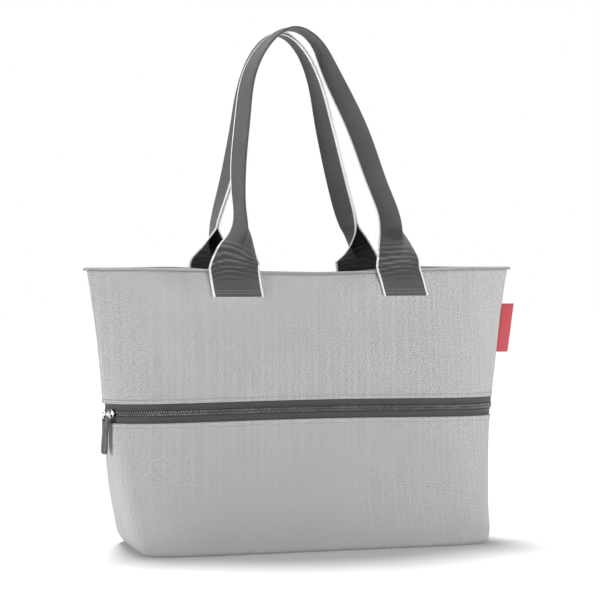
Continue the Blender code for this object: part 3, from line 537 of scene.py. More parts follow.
class Graph:
    """A material's node tree, with short ways to add nodes from numbers, colours or outputs."""

    def __init__(self, name):
        self.material = bpy.data.materials.new(name)
        self.material.use_nodes = True
        self.tree = self.material.node_tree
        self.shader = self.tree.nodes["Principled BSDF"]

    def plug(self, socket, value):
        if isinstance(value, bpy.types.NodeSocket):
            self.tree.links.new(value, socket)
        elif isinstance(value, tuple) and len(value) == 3 and socket.type == "RGBA":
            socket.default_value = (*value, 1.0)
        else:
            socket.default_value = value

    def math(self, operation, first, second=0.0):
        node = self.tree.nodes.new("ShaderNodeMath")
        node.operation = operation
        self.plug(node.inputs[0], first)
        self.plug(node.inputs[1], second)
        return node.outputs[0]

    def total(self, *parts):
        """The sum of pairs of a value and its weight."""
        added = None
        for value, weight in parts:
            term = value if weight == 1 else self.math("MULTIPLY", value, weight)
            added = term if added is None else self.math("ADD", added, term)
        return added

    def mix(self, share, first, second):
        node = self.tree.nodes.new("ShaderNodeMix")
        node.data_type = "RGBA"
        self.plug(node.inputs[0], share)
        self.plug(node.inputs[6], first)
        self.plug(node.inputs[7], second)
        return node.outputs[2]

    def place(self):
        """The place on the cloth across and along it in metres, and the painted shade of its folds
        there.
        """
        node = self.tree.nodes.new("ShaderNodeAttribute")
        node.attribute_name = "cloth"
        split = self.tree.nodes.new("ShaderNodeSeparateXYZ")
        self.tree.links.new(node.outputs["Vector"], split.inputs[0])
        return split.outputs[0], split.outputs[1], split.outputs[2]

    def position(self):
        return self.tree.nodes.new("ShaderNodeTexCoord").outputs["Object"]

    def vector(self, x, y, z=0.0):
        node = self.tree.nodes.new("ShaderNodeCombineXYZ")
        for socket, value in zip(node.inputs, (x, y, z)):
            self.plug(socket, value)
        return node.outputs[0]

    def noise(self, vector, scale, detail=2.0, rough=0.5):
        node = self.tree.nodes.new("ShaderNodeTexNoise")
        self.plug(node.inputs["Vector"], vector)
        node.inputs["Scale"].default_value = scale
        node.inputs["Detail"].default_value = detail
        node.inputs["Roughness"].default_value = rough
        return node.outputs["Fac"]

    def wave(self, cycles):
        """A smooth wave from 0 to 1 of this many cycles."""
        sine = self.math("SINE", self.math("MULTIPLY", cycles, 2 * math.pi))
        return self.math("ADD", self.math("MULTIPLY", sine, 0.5), 0.5)

    def fit(self, value, low, high, new_low=0.0, new_high=1.0):
        node = self.tree.nodes.new("ShaderNodeMapRange")
        for socket, given in zip(node.inputs, (value, low, high, new_low, new_high)):
            self.plug(socket, given)
        return node.outputs[0]

    def bump(self, height, distance, strength=1.0, under=None):
        node = self.tree.nodes.new("ShaderNodeBump")
        node.inputs["Distance"].default_value = distance
        node.inputs["Strength"].default_value = strength
        self.plug(node.inputs["Height"], height)
        if under is not None:
            self.plug(node.inputs["Normal"], under)
        return node.outputs[0]

    def finish(self, colour, roughness, normal=None, metallic=0.0, sheen=0.0, specular=0.5):
        self.plug(self.shader.inputs["Base Color"], colour)
        self.plug(self.shader.inputs["Roughness"], roughness)
        self.shader.inputs["Metallic"].default_value = metallic
        self.shader.inputs["Sheen Weight"].default_value = sheen
        self.shader.inputs["Specular IOR Level"].default_value = specular
        if normal is not None:
            self.plug(self.shader.inputs["Normal"], normal)
        return self.material


def herringbone(name, light, dark):
    """Woven cloth with slanting lines that turn round at each column."""
    g = Graph(name)
    across, along, _ = g.place()
    columns = g.math("DIVIDE", across, HERRINGBONE_COLUMN)
    index = g.math("FLOOR", columns)
    part = g.math("SUBTRACT", columns, index)
    odd = g.math("ABSOLUTE", g.math("MODULO", index, 2.0))
    back = g.math("SUBTRACT", 1.0, part)
    forward_part = g.math("MULTIPLY", part, g.math("SUBTRACT", 1.0, odd))
    slant = g.math("ADD", forward_part, g.math("MULTIPLY", back, odd))
    rise = g.math("DIVIDE", along, HERRINGBONE_PITCH)
    wander = g.noise(g.vector(across, along), 900.0, 1.0)
    line = g.wave(g.total((rise, 1), (slant, HERRINGBONE_SLANT), (odd, 0.45), (wander, 0.5)))
    grain = g.noise(g.vector(g.math("MULTIPLY", across, 1.6), along), 1100.0, 3.0, 0.65)
    specks = g.noise(g.vector(across, g.math("MULTIPLY", along, 1.5)), 520.0, 2.0, 0.6)
    edge = g.math("ABSOLUTE", g.math("SUBTRACT", g.math("MULTIPLY", part, 2.0), 1.0))
    turn = g.fit(edge, 0.74, 1.0)
    grains = g.fit(grain, 0.3, 0.7)
    speckled = g.fit(specks, 0.35, 0.65)
    share = g.total((line, 0.44), (grains, 0.26), (speckled, 0.40), (turn, -0.10), (odd, 0.02))
    soft = g.noise(g.position(), 14.0, 2.0)
    stretched = g.vector(g.math("MULTIPLY", across, 60.0), g.math("MULTIPLY", along, 4.0))
    streak = g.noise(stretched, 3.0, 2.0)
    colour = g.mix(share, dark, light)
    tone = g.fit(g.total((soft, 0.5), (streak, 0.5)), 0.3, 0.7, 0.94, 1.04)
    shaded = g.tree.nodes.new("ShaderNodeVectorMath")
    shaded.operation = "SCALE"
    g.plug(shaded.inputs[0], colour)
    g.plug(shaded.inputs["Scale"], tone)
    normal = g.bump(g.total((line, 0.7), (grain, 0.8), (specks, 0.5)), 0.26 * MM, 0.9)
    roughness = g.fit(grain, 0.3, 0.7, 0.78, 0.92)
    return g.finish(shaded.outputs[0], roughness, normal, sheen=0.1, specular=0.25)


def plain_weave(name, light, dark, pitch):
    """Small over-and-under threads in both directions."""
    g = Graph(name)
    across, along, _ = g.place()
    first = g.wave(g.math("DIVIDE", across, pitch))
    second = g.wave(g.math("DIVIDE", along, pitch))
    cross = g.math("ABSOLUTE", g.math("SUBTRACT", first, second))
    grain = g.noise(g.vector(across, along), 1400.0, 2.0)
    share = g.total((cross, 0.6), (g.fit(grain, 0.3, 0.7), 0.4))
    colour = g.mix(share, dark, light)
    normal = g.bump(share, 0.12 * MM)
    return g.finish(colour, g.fit(grain, 0.3, 0.7, 0.79, 0.91), normal, sheen=0.1, specular=0.3)


def ribbed_tape(name, light, dark, rib, depth, sheen=0.15, roughness=0.8):
    """Tape with close ribs across its width."""
    g = Graph(name)
    across, along, crease_shade = g.place()
    ribs = g.wave(g.math("DIVIDE", along, rib))
    threads = g.wave(g.math("DIVIDE", across, rib * 0.8))
    grain = g.noise(g.vector(across, along), 1300.0, 2.0)
    worn = g.noise(g.position(), 30.0, 3.0)
    grains = g.fit(grain, 0.3, 0.7)
    wear = g.fit(worn, 0.35, 0.65)
    # The third place value is painted shade: it darkens the colour in fold valleys and in a band near
    # the rim.
    share = g.total((ribs, 0.45), (grains, 0.35), (wear, 0.2), (crease_shade, CREASE_SHADE))
    colour = g.mix(share, dark, light)
    normal = g.bump(g.total((ribs, 1), (threads, 0.35)), depth, 0.8)
    rough = g.fit(grain, 0.3, 0.7, roughness - 0.08, roughness + 0.08)
    return g.finish(colour, rough, normal, sheen=sheen, specular=0.35)


def spun_thread(name, colour, darker):
    """Twisted sewing thread."""
    g = Graph(name)
    twist = g.noise(g.position(), 2600.0, 1.0)
    tone = g.mix(g.fit(twist, 0.35, 0.65), darker, colour)
    return g.finish(tone, 0.7, g.bump(twist, 0.08 * MM), sheen=0.1)


def polished_metal(name, colour):
    """Bright metal with faint marks."""
    g = Graph(name)
    marks = g.noise(g.position(), 700.0, 3.0)
    patches = g.noise(g.position(), 160.0, 2.0)
    shade = tuple(c * 0.86 for c in colour)
    roughness = g.fit(marks, 0.35, 0.65, 0.12, 0.24)
    tone = g.mix(patches, shade, colour)
    return g.finish(tone, roughness, g.bump(marks, 0.02 * MM, 0.5), metallic=1.0)


def moulded_plastic(name, colour, roughness):
    """Smooth plastic with a fine grain."""
    g = Graph(name)
    grain = g.noise(g.position(), 1500.0, 3.0)
    patches = g.noise(g.position(), 120.0, 2.0)
    lighter = tuple(min(c * 1.35 + 0.01, 1.0) for c in colour)
    tone = g.mix(g.fit(patches, 0.35, 0.65), colour, lighter)
    rough = g.fit(grain, 0.3, 0.7, roughness - 0.08, roughness + 0.08)
    return g.finish(tone, rough, g.bump(grain, 0.05 * MM))


def floor_finish(name):
    """A plain pale floor without gloss."""
    g = Graph(name)
    marks = g.noise(g.position(), 8.0, 2.0)
    tone = g.mix(marks, (0.86, 0.86, 0.86), (0.88, 0.88, 0.88))
    return g.finish(tone, g.fit(marks, 0.3, 0.7, 0.55, 0.65), specular=0.0)


CLOTH = herringbone("herringbone_cloth", (0.640, 0.629, 0.634), (0.095, 0.092, 0.094))
LINING = plain_weave("lining_cloth", (0.30, 0.30, 0.305), (0.20, 0.20, 0.205), 0.5 * MM)
BASE_CLOTH = plain_weave("base_cloth", (0.34, 0.335, 0.34), (0.22, 0.215, 0.22), 0.6 * MM)
BINDING = ribbed_tape(
    "binding_tape", (0.430, 0.422, 0.428), (0.300, 0.294, 0.299), 0.9 * MM, 0.12 * MM
)
# A near-black copy of the binding tape for its lowest strip: a painted shadow line under the binding's
# lip.
BINDING_EDGE_PAINTED_SHADOW = ribbed_tape(
    "binding_edge_painted_shadow", (0.150, 0.146, 0.150), (0.080, 0.078, 0.080), 0.9 * MM, 0.1 * MM
)
ZIP_TAPE = ribbed_tape(
    "zip_tape_cloth", (0.066, 0.061, 0.067), (0.034, 0.031, 0.035), 0.7 * MM, 0.1 * MM, roughness=0.65
)
COIL = moulded_plastic("zip_coil_plastic", (0.085, 0.082, 0.087), 0.22)
NICKEL = polished_metal("polished_nickel", (0.83, 0.82, 0.80))
RUBBER = moulded_plastic("tab_rubber", (0.042, 0.042, 0.043), 0.42)
WEBBING = ribbed_tape(
    "webbing_cloth", (0.116, 0.107, 0.118), (0.046, 0.042, 0.047), 1.1 * MM, 0.22 * MM, sheen=0.2
)
# The webbing's inner face, near black: partly its own darker face, partly painted shade.
WEBBING_INSIDE_SHADED = ribbed_tape(
    "webbing_inside_shaded", (0.030, 0.028, 0.030), (0.014, 0.013, 0.014), 1.1 * MM, 0.2 * MM
)
TRIM = ribbed_tape(
    "pale_trim", (0.86, 0.86, 0.87), (0.62, 0.62, 0.63), 0.8 * MM, 0.1 * MM, roughness=0.55
)
LABEL = ribbed_tape(
    "label_weave", (0.53, 0.075, 0.093), (0.40, 0.040, 0.055), 0.5 * MM, 0.06 * MM, roughness=0.6
)
GREY_THREAD = spun_thread("grey_thread", (0.30, 0.295, 0.30), (0.19, 0.185, 0.19))
RED_THREAD = spun_thread("red_thread", (0.55, 0.05, 0.06), (0.38, 0.02, 0.03))


# The bag's cloth


def around(sections, cloth):
    """Stations round a section as sections along it, and their places on the cloth as one list."""
    return np.array(sections).transpose(1, 0, 2), np.array(cloth).transpose(1, 0, 2).reshape(-1, 3)


def hem_relief(distance):
    """How far a hem stands out this far in from its edge: swollen, then pressed in at its stitches."""
    past = (distance - HEM_STITCH_IN) / HEM_FALL
    swell = HEM_SWELL * np.clip(1 - past, 0, 1) * (past < 1)
    press = HEM_PRESS * np.exp(-(((distance - HEM_STITCH_IN) / HEM_PRESS_WIDTH) ** 2))
    return swell - press


def hem_distances(length, coarse=5 * MM):
    """Distances in from a hem's folded edge, close together at the hem."""
    near = np.array([0.0, 0.5, 1.1, 1.8, 2.4, 2.9, 3.2, 3.4, 3.6, 3.9, 4.4, 5.2, 6.5]) * MM
    far = np.arange(9 * MM, length - 0.4 * coarse, coarse)
    return np.concatenate([near, far, [length]])


def hem_edge_rows(edge, way):
    """Rows round a hem's folded edge, which bulges upward for way 1 and downward for way -1."""
    rows = []
    for turn in (150, 120, 90, 60, 30):
        angle = math.radians(turn)
        outward = -FABRIC / 2 + math.cos(angle) * FABRIC / 2
        rows.append((edge + way * HEM_TURN * math.sin(angle) / 2, outward, 0.0, 0, 1.0, 0.0))
    return rows


def to_side(points, side):
    """Front points as they are for side -1, or their mirror image for side 1."""
    made = points.copy()
    made[:, 1] *= -side
    return made


def cloth_panel(name, side, loop, node):
    """A wall of cloth. loop has rows round its section: height, outward distance, place on the cloth,
    which face it is on, how far it follows the zip's lift, and how far it follows the rim."""
    shares = np.linspace(0, 1, PANEL_COLUMNS + 1)
    shares = 0.75 * shares + 0.25 * 0.5 * (1 - np.cos(np.pi * shares))
    relief = fold_relief(FRONT_FOLDS if side < 0 else BACK_FOLDS)
    sections = []
    cloth = []
    for height, outward, place, _, lift, rim in loop:
        points, along = front_curve(height, outward, shares, relief=relief)
        points = to_side(points, side)
        x = points[:, 0]
        z = height + lift * zip_lift(x, height) + rim * rim_change(seam_share(x, height), side)
        sections.append(np.column_stack([points, z]))
        cloth.append(on_cloth(along, place))
    sections, cloth = around(sections, cloth)
    face = [int(row[3]) for row in loop]
    made = loft(name, sections, [CLOTH, LINING], face, cloth)
    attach(made, "bag")
    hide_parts(node)
    return made


def upper_panel(side):
    """The wall above the zip: a hem at the zip band, and a raw edge inside the rim's binding."""
    bottom = ZIP_HEIGHT + ZIP_OPENING / 2
    top = BAG_HEIGHT - BINDING_SKIN - PIECE_GAP
    span = top - bottom
    loop = []
    for distance in hem_distances(span):
        share = distance / span
        loop.append((bottom + distance, hem_relief(distance), distance, 0, (1 - share) ** 2, share**2))
    for distance in reversed(np.linspace(0, span, 26)):
        share = distance / span
        loop.append((bottom + distance, -FABRIC, distance, 1, (1 - share) ** 2, share**2))
    loop += hem_edge_rows(bottom, -1)
    name = "front_upper_cloth" if side < 0 else "back_upper_cloth"
    return cloth_panel(name, side, loop, name.replace("cloth", "panel"))


def lower_panel(side):
    """The wall below the zip, which turns under at the base."""
    top = ZIP_HEIGHT - ZIP_OPENING / 2
    span = top - FOOT_RADIUS
    loop = []
    for distance in hem_distances(span):
        share = 1 - distance / span
        loop.append((top - distance, hem_relief(distance), distance, 0, share**2, 0.0))
    for turn in (8, 16, 25, 34, 43, 52, 61, 70, 80):
        angle = math.radians(turn)
        inset = FOOT_RADIUS * (1 - math.cos(angle))
        height = FOOT_RADIUS * (1 - math.sin(angle))
        loop.append((height, -inset, span + FOOT_RADIUS * angle, 0, 0.0, 0.0))
    for turn in (80, 61, 43, 25, 8):
        angle = math.radians(turn)
        inset = FOOT_RADIUS * (1 - math.cos(angle)) + FABRIC * math.cos(angle)
        height = FOOT_RADIUS * (1 - math.sin(angle)) + FABRIC * math.sin(angle)
        loop.append((height, -inset, span + FOOT_RADIUS * angle, 1, 0.0, 0.0))
    for share in np.linspace(0, 1, 26):
        loop.append((FOOT_RADIUS + share * span, -FABRIC, span * (1 - share), 1, share**2, 0.0))
    loop += hem_edge_rows(top, 1)
    name = "front_lower_cloth" if side < 0 else "back_lower_cloth"
    return cloth_panel(name, side, loop, name.replace("cloth", "panel"))


def base_cloth():
    """The flat base inside the turned-under walls, a little domed on its upper face."""
    inset = FOOT_RADIUS * (1 - math.cos(math.radians(80))) + BASE_PANEL_INSET
    ring, _, _ = ring_curve(0.0, -inset, RING_COLUMNS)
    lower = ((0.0, 0.02), (0.0, 0.5), (0.0, 0.97), (0.25, 1.0))
    upper = tuple((1.0 - up, scale) for up, scale in reversed(lower))
    sections = []
    cloth = []
    for up, scale in lower + upper:
        points = ring * scale
        sections.append(np.column_stack([points, np.full(len(points), up * BASE_THICKNESS)]))
        cloth.append(on_cloth(points[:, 0], points[:, 1]))
    made = loft("base_cloth", np.array(sections), [BASE_CLOTH], None, np.concatenate(cloth))
    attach(made, "bag")
    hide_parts("base_panel")


# Shares of a seam binding's half width, each with how deep it stands there in millimetres
SEAM_BINDING_SECTION = ((-1, 0.0), (-1, 0.7), (-0.5, 1.2), (0, 1.5), (0.5, 1.2), (1, 0.7), (1, 0.0))


def seam_bindings():
    """The bound seam allowances that lie flat inside the bag along each side seam."""
    half = 4.0 * MM
    for side, word in ((-1, "left"), (1, "right")):
        for group, part in ((np.linspace(12, 108, 24), "lower"), (np.linspace(136, 244, 24), "upper")):
            sections = []
            cloth = []
            for height in group * MM:
                x, y = fine_outline(height)
                near = (np.abs(y) < half + FABRIC) & (side * seam_share(x, height) > 0)
                order = np.argsort(np.abs(y[near]))
                tip = abs(seam_x(height, side))
                reach = float(np.interp(half, np.abs(y[near])[order], np.abs(x[near])[order]))
                lean = max(tip - reach, 0.0)
                inner = tip - FABRIC * (1.15 + 1.4 * lean / half) - 0.5 * MM
                loop = []
                for across, deep in SEAM_BINDING_SECTION:
                    x_in = inner - lean * abs(across) - deep * MM
                    loop.append((side * x_in, across * half, height))
                sections.append(loop)
                cloth.append([(point[1], height, 0.0) for point in loop])
            name = f"{word}_seam_binding_{part}"
            made = loft(name, np.array(sections), [BINDING], None, np.array(cloth).reshape(-1, 3))
            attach(made, "bag")


def rim_binding():
    """The folded strip over the raw edge all the way round the mouth."""
    middle = -FABRIC / 2
    half = FABRIC / 2 + BINDING_OUT
    low = BAG_HEIGHT - 0.85 * BINDING_DROP
    turns = np.radians(np.linspace(0, 180, 9))
    leg = ((0.9, 0.0), (1.0, 0.5 * MM), (1.0, 1.4 * MM))
    round_top = 1.5 * MM
    top = BAG_HEIGHT - round_top
    outline = [(middle + half * share, low + up) for share, up in leg]
    outline += [(middle + half * math.cos(t), top + round_top * math.sin(t)) for t in turns]
    outline += [(middle - half * share, low + up) for share, up in reversed(leg)]
    outline += [(-FABRIC - PIECE_GAP, low), (-FABRIC - PIECE_GAP, BAG_HEIGHT - BINDING_SKIN)]
    outline += [(PIECE_GAP, BAG_HEIGHT - BINDING_SKIN), (PIECE_GAP, low)]
    sections = []
    cloth = []
    path = 0.0
    for number, (outward, height) in enumerate(outline):
        if number:
            path += math.hypot(outward - outline[number - 1][0], height - outline[number - 1][1])
        ring, way_round, side = ring_curve(min(height, BAG_HEIGHT), outward, RING_COLUMNS * 2)
        rise = rim_change(seam_share(ring[:, 0], BAG_HEIGHT), side)
        sections.append(np.column_stack([ring, height + rise]))
        cloth.append(on_cloth(path, way_round))
    sections, cloth = around(sections, cloth)
    # The first and last strips, at the binding's lower edge, take the painted shadow line.
    faces = [1] + [0] * (len(outline) - 2) + [1]
    made = loft("rim_binding_tape", sections, [BINDING, BINDING_EDGE_PAINTED_SHADOW], faces, cloth, closed_along=True)
    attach(made, "bag")
    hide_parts("rim_binding")


# The zip


def zip_relief(along, _, half_run):
    """The zip stands a little proud where it turns the right side seam."""
    return ZIP_PROUD * np.exp(-(((half_run - along) / ZIP_PROUD_WIDTH) ** 2))


def zip_tape(direction):
    """One tape of the zip with a rib beside the teeth, the upper for direction 1, the lower for -1."""
    chain_edge = CHAIN_WIDTH / 2 + TAPE_TO_CHAIN - 1.6 * MM
    hem_edge = ZIP_OPENING / 2 + TAPE_HIDDEN
    face = -(FABRIC + PIECE_GAP)
    rib_edge = CHAIN_WIDTH / 2 + 0.2 * MM
    outline = [
        (chain_edge, face - 0.9 * MM),
        (rib_edge, face - 0.2 * MM),
        (rib_edge + 0.25 * MM, face + 0.35 * MM),
        (rib_edge + 0.7 * MM, face + 0.5 * MM),
        (rib_edge + 1.15 * MM, face + 0.3 * MM),
        (rib_edge + 1.5 * MM, face),
        (rib_edge + 3.0 * MM, face + 0.05 * MM),
        (hem_edge, face),
        (hem_edge, face - TAPE_THICKNESS),
        (rib_edge, face - TAPE_THICKNESS),
        (chain_edge, face - TAPE_THICKNESS - 0.6 * MM),
    ]
    sections = []
    cloth = []
    for up, outward in outline:
        height = ZIP_HEIGHT + direction * up
        ring, way_round, _ = ring_curve(height, outward, RING_COLUMNS, zip_relief)
        sections.append(np.column_stack([ring, height + zip_lift(ring[:, 0])]))
        cloth.append(on_cloth(up, way_round))
    sections, cloth = around(sections, cloth)
    word = "upper" if direction > 0 else "lower"
    made = loft(f"zip_tape_{word}_cloth", sections, [ZIP_TAPE], None, cloth, closed_along=True)
    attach(made, "bag")
    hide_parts(f"zip_tape_{word}")


def zip_teeth():
    """Two rows of coiled teeth that mesh along the middle of the zip."""
    ring, _, _ = ring_curve(ZIP_HEIGHT, -CHAIN_RECESS - CHAIN_THICKNESS / 2, 4000, zip_relief)
    ring = np.concatenate([ring, ring[:1]])
    run = flat_run(ring[:, 0], ring[:, 1])
    clear = SLIDER_LENGTH / 2 - 0.6 * MM
    count = int(run[-1] / TOOTH_PITCH)
    base_points, base_faces = capsule(2 * TOOTH_REACH, 0.44 * TOOTH_PITCH, 8)
    base_points = [(a, b, c * CHAIN_THICKNESS / 2 / (0.44 * TOOTH_PITCH)) for a, b, c in base_points]
    places = []
    up = np.array([0.0, 0.0, 1.0])
    for row, lean in ((-1, 0.22), (1, -0.22)):
        for n in range(count):
            at = (n + 0.5 + 0.25 * row) * TOOTH_PITCH
            if abs(at - SLIDER_FROM_SEAM) < clear:
                continue
            point, ahead = (
                np.array([np.interp(place, run, ring[:, 0]), np.interp(place, run, ring[:, 1])])
                for place in (at, at + 0.3 * MM)
            )
            tangent = ahead - point
            tangent = np.array([*(tangent / np.linalg.norm(tangent)), 0.0])
            outward = np.array([tangent[1], -tangent[0], 0.0])
            middle = ZIP_HEIGHT + zip_lift(point[0]) + row * (TOOTH_REACH - 0.22 * MM)
            first = up + lean * tangent
            first /= np.linalg.norm(first)
            second = tangent - tangent.dot(first) * first
            second /= np.linalg.norm(second)
            places.append((np.array([point[0], point[1], middle]), (first, second, outward)))
    made = copies("zip_coil_teeth", base_points, base_faces, places, COIL)
    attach(made, "bag")
    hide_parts("zip_chain")


def slider_move():
    """The move that takes a slider made at the left seam to its own place and turn on the outline."""
    x, y = fine_outline(ZIP_HEIGHT)
    run = flat_run(x, y)
    wanted = SLIDER_FROM_SEAM + np.array([-0.5, 0.0, 0.5]) * SLIDER_LENGTH
    px = np.interp(wanted, run, x)
    py = np.interp(wanted, run, y)
    turn = math.atan2(px[2] - px[0], py[0] - py[2])
    place = Vector((px[1], py[1], float(zip_lift(px[1]))))
    seam = Vector((seam_x(ZIP_HEIGHT, -1), 0.0, 0.0))
    return Matrix.Translation(place) @ Matrix.Rotation(turn, 4, "Z") @ Matrix.Translation(-seam)


def slider_face():
    """How far left the slider's outer face is."""
    return seam_x(ZIP_HEIGHT, -1) - SLIDER_PLATE * 0.5


def bridge_axis():
    """The middle of the bridge, which the ring swings on."""
    return np.array([slider_face() - BRIDGE_RISE, 0.0, ZIP_HEIGHT])


def plate_sections(x_out, thick):
    """A rounded plate in the slider's plane as outlines from its outer to its inner face."""
    sections = []
    turns = full_turn(48)
    for deep, scale in ((0.0, 0.82), (0.12, 0.93), (0.35, 1.0), (0.65, 1.0), (0.88, 0.95), (1.0, 0.86)):
        y = raised(np.cos(turns), 0.75) * SLIDER_LENGTH / 2 * scale
        z = raised(np.sin(turns), 0.65) * SLIDER_WIDTH / 2 * scale
        narrow = 1 - 0.16 * (y / (SLIDER_LENGTH / 2)) ** 2
        x = np.full(len(turns), x_out + deep * thick)
        sections.append(np.column_stack([x, y, ZIP_HEIGHT + z * narrow]))
    return np.array(sections)


def swept(path, wide, thick, wide_axis, sides=16):
    """An oval wire along a path; wide_axis is the direction of its wider size."""
    path = np.asarray(path, dtype=float)
    along = np.gradient(path, axis=0)
    along /= np.linalg.norm(along, axis=1)[:, None]
    sections = []
    for point, direction in zip(path, along):
        first = np.asarray(wide_axis) - direction.dot(wide_axis) * direction
        first /= np.linalg.norm(first)
        second = np.cross(direction, first)
        turns = full_turn(sides)
        oval = np.outer(np.cos(turns) * wide / 2, first) + np.outer(np.sin(turns) * thick / 2, second)
        sections.append(point + oval)
    return np.array(sections)


def slider():
    """The slider: two rounded plates, the wedge between them, and the bridge that carries the pull."""
    face = slider_face()
    tape_back = seam_x(ZIP_HEIGHT, -1) + FABRIC + PIECE_GAP + TAPE_THICKNESS
    inner = tape_back + SLIDER_SLOT_SLACK
    pieces = [
        loft("slider_outer_plate", plate_sections(face, SLIDER_PLATE), [NICKEL]),
        loft("slider_inner_plate", plate_sections(inner, SLIDER_PLATE), [NICKEL]),
    ]
    turns = full_turn(24)
    y = WEDGE_SET_BACK + np.cos(turns) * WEDGE_HALF_LENGTH
    z = ZIP_HEIGHT + np.sin(turns) * WEDGE_HALF_WIDTH
    wedge = [np.column_stack([np.full(24, x + SLIDER_PLATE / 2), y, z]) for x in (face, inner)]
    pieces.append(loft("slider_wedge", np.array(wedge), [NICKEL]))
    axis = bridge_axis()
    half = BRIDGE_SPAN / 2
    turns = np.linspace(0, np.pi, 40)
    path = np.column_stack(
        [
            face + BRIDGE_FOOT - (BRIDGE_RISE + BRIDGE_FOOT) * np.abs(np.sin(turns)) ** 0.45,
            -half * raised(np.cos(turns), 0.8),
            np.full(40, axis[2]),
        ]
    )
    pieces.append(loft("slider_bridge", swept(path, BRIDGE_WIDTH, BRIDGE_WIRE, (0, 0, 1)), [NICKEL]))
    for piece in pieces:
        piece.data.transform(slider_move())
        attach(piece, "bag")
        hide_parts("zip_slider")


def ring_centre():
    """The middle of the hanging ring."""
    lean = math.radians(RING_LEAN_DEG)
    return bridge_axis() + RING_ARM * np.array([-math.sin(lean), 0.0, -math.cos(lean)])


def pull_ring():
    """The round ring that hangs on the bridge."""
    centre = ring_centre()
    turns = full_turn(64)
    spins = full_turn(16)
    sections = []
    for turn in turns:
        outward = np.array([math.cos(turn), 0.0, math.sin(turn)])
        middle = centre + RING_RADIUS * outward
        sections.append(
            middle
            + np.outer(np.cos(spins) * RING_WIRE / 2, outward)
            + np.outer(np.sin(spins) * RING_WIRE / 2, (0.0, 1.0, 0.0))
        )
    made = loft("pull_ring_wire", np.array(sections), [NICKEL], closed_along=True)
    made.data.transform(slider_move())
    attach(made, "zip_pull")
    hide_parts("pull_ring")


def pull_tab():
    """The moulded tab: an edge frame, a sunk middle with grip ridges, and a hole for the ring."""
    tilt = math.radians(TAB_TILT_DEG)
    down = np.array([-math.sin(tilt), 0.0, -math.cos(tilt)])
    out = np.array([-math.cos(tilt), 0.0, math.sin(tilt)])
    side = np.array([0.0, 1.0, 0.0])
    wire = ring_centre() + np.array([0.0, 0.0, -RING_RADIUS])
    hole = wire + (TAB_HOLE / 2 - RING_WIRE / 2 - 2.5 * RING_IN_HOLE_GAP) * down
    top = hole - TAB_HOLE_BELOW_TOP * down
    # Each row is a share of the length, then the shares of the width and thickness there.
    shape = (
        (0.00, 0.40, 0.45),
        (0.015, 0.66, 0.72),
        (0.04, 0.86, 0.90),
        (0.08, 0.97, 1.00),
        (0.20, 0.92, 1.00),
        (0.55, 0.86, 1.00),
        (0.85, 0.96, 1.00),
        (0.93, 0.93, 0.97),
        (0.97, 0.80, 0.86),
        (0.99, 0.60, 0.66),
        (1.00, 0.36, 0.40),
    )
    stations = np.unique(np.concatenate([np.linspace(0, 1, 90), [row[0] for row in shape]]))
    sections = []
    spins = full_turn(40)
    for share in stations:
        width, thick = between(shape, share)[0]
        w = width * TAB_WIDTH / 2
        t = thick * TAB_THICKNESS / 2
        a = raised(np.cos(spins), 0.6) * w
        b = raised(np.sin(spins), 0.45) * t
        inside = np.clip(1 - (np.abs(a) / (0.62 * w)) ** 6, 0, 1) * np.clip((share - 0.26) / 0.03, 0, 1)
        inside = inside * np.clip((0.93 - share) / 0.03, 0, 1)
        ridge = 0.5 + 0.5 * math.cos(2 * math.pi * (share - 0.3) * TAB_LENGTH / (1.9 * MM))
        sunk = inside * (0.45 - 0.3 * ridge * (0.55 < share < 0.88)) * MM
        b = b - np.sign(b) * np.where(np.abs(b) > 0.5 * t, sunk, 0)
        sections.append(top + share * TAB_LENGTH * down + np.outer(a, side) + np.outer(b, out))
    made = loft("pull_tab_moulded", np.array(sections), [RUBBER])
    turns = full_turn(32)
    cutter_sections = []
    for reach in (-2 * TAB_THICKNESS, 2 * TAB_THICKNESS):
        cutter_sections.append(
            hole
            + reach * out
            + np.outer(np.cos(turns) * TAB_HOLE / 2, side)
            + np.outer(np.sin(turns) * TAB_HOLE / 2, down)
        )
    cutter = loft("tab_hole_cutter", np.array(cutter_sections), [RUBBER])
    cut = made.modifiers.new("hole", "BOOLEAN")
    cut.operation = "DIFFERENCE"
    cut.solver = "EXACT"
    cut.object = cutter
    graph = bpy.context.evaluated_depsgraph_get()
    mesh = bpy.data.meshes.new_from_object(made.evaluated_get(graph))
    made.modifiers.clear()
    made.data = mesh
    bpy.data.objects.remove(cutter)
    made.data.transform(slider_move())
    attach(made, "zip_pull")
    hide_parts("pull_tab")


# The straps


def strap_path(table):
    """Rows along a strap: run, x, y, z, open_deg, turn_deg and lie, closer together at the bases."""
    top_out = STRAP_TOP_GAP + WEBBING_WIDTH / 2
    rim_out = body_at(BAG_HEIGHT)[1] + BINDING_SKIN + 2 * PIECE_GAP + WEBBING_THICKNESS
    rows = []
    for across, out, up, open_deg, turn_deg, lie in table:
        y = -(top_out + out * (rim_out - top_out))
        z = BAG_HEIGHT + up * (STRAP_RISE if up > 0 else STRAP_PATCH)
        rows.append((across * STRAP_HALF_SPACING, y, z, open_deg, turn_deg, lie))
    rows = np.array(rows, dtype=float)
    run = path_run(rows[:, :3])
    even = np.linspace(0, 1, STRAP_STATIONS + 1)
    crowded = even - 0.6 * np.sin(2 * np.pi * even) / (2 * np.pi)
    wanted = crowded * run[-1]
    made = between(np.column_stack([run, rows]), wanted)
    made[:, :3] = eased(made[:, :3], 9)
    made[:, 4] = eased(made[:, 4:5], 9)[:, 0]
    return np.column_stack([wanted, made])


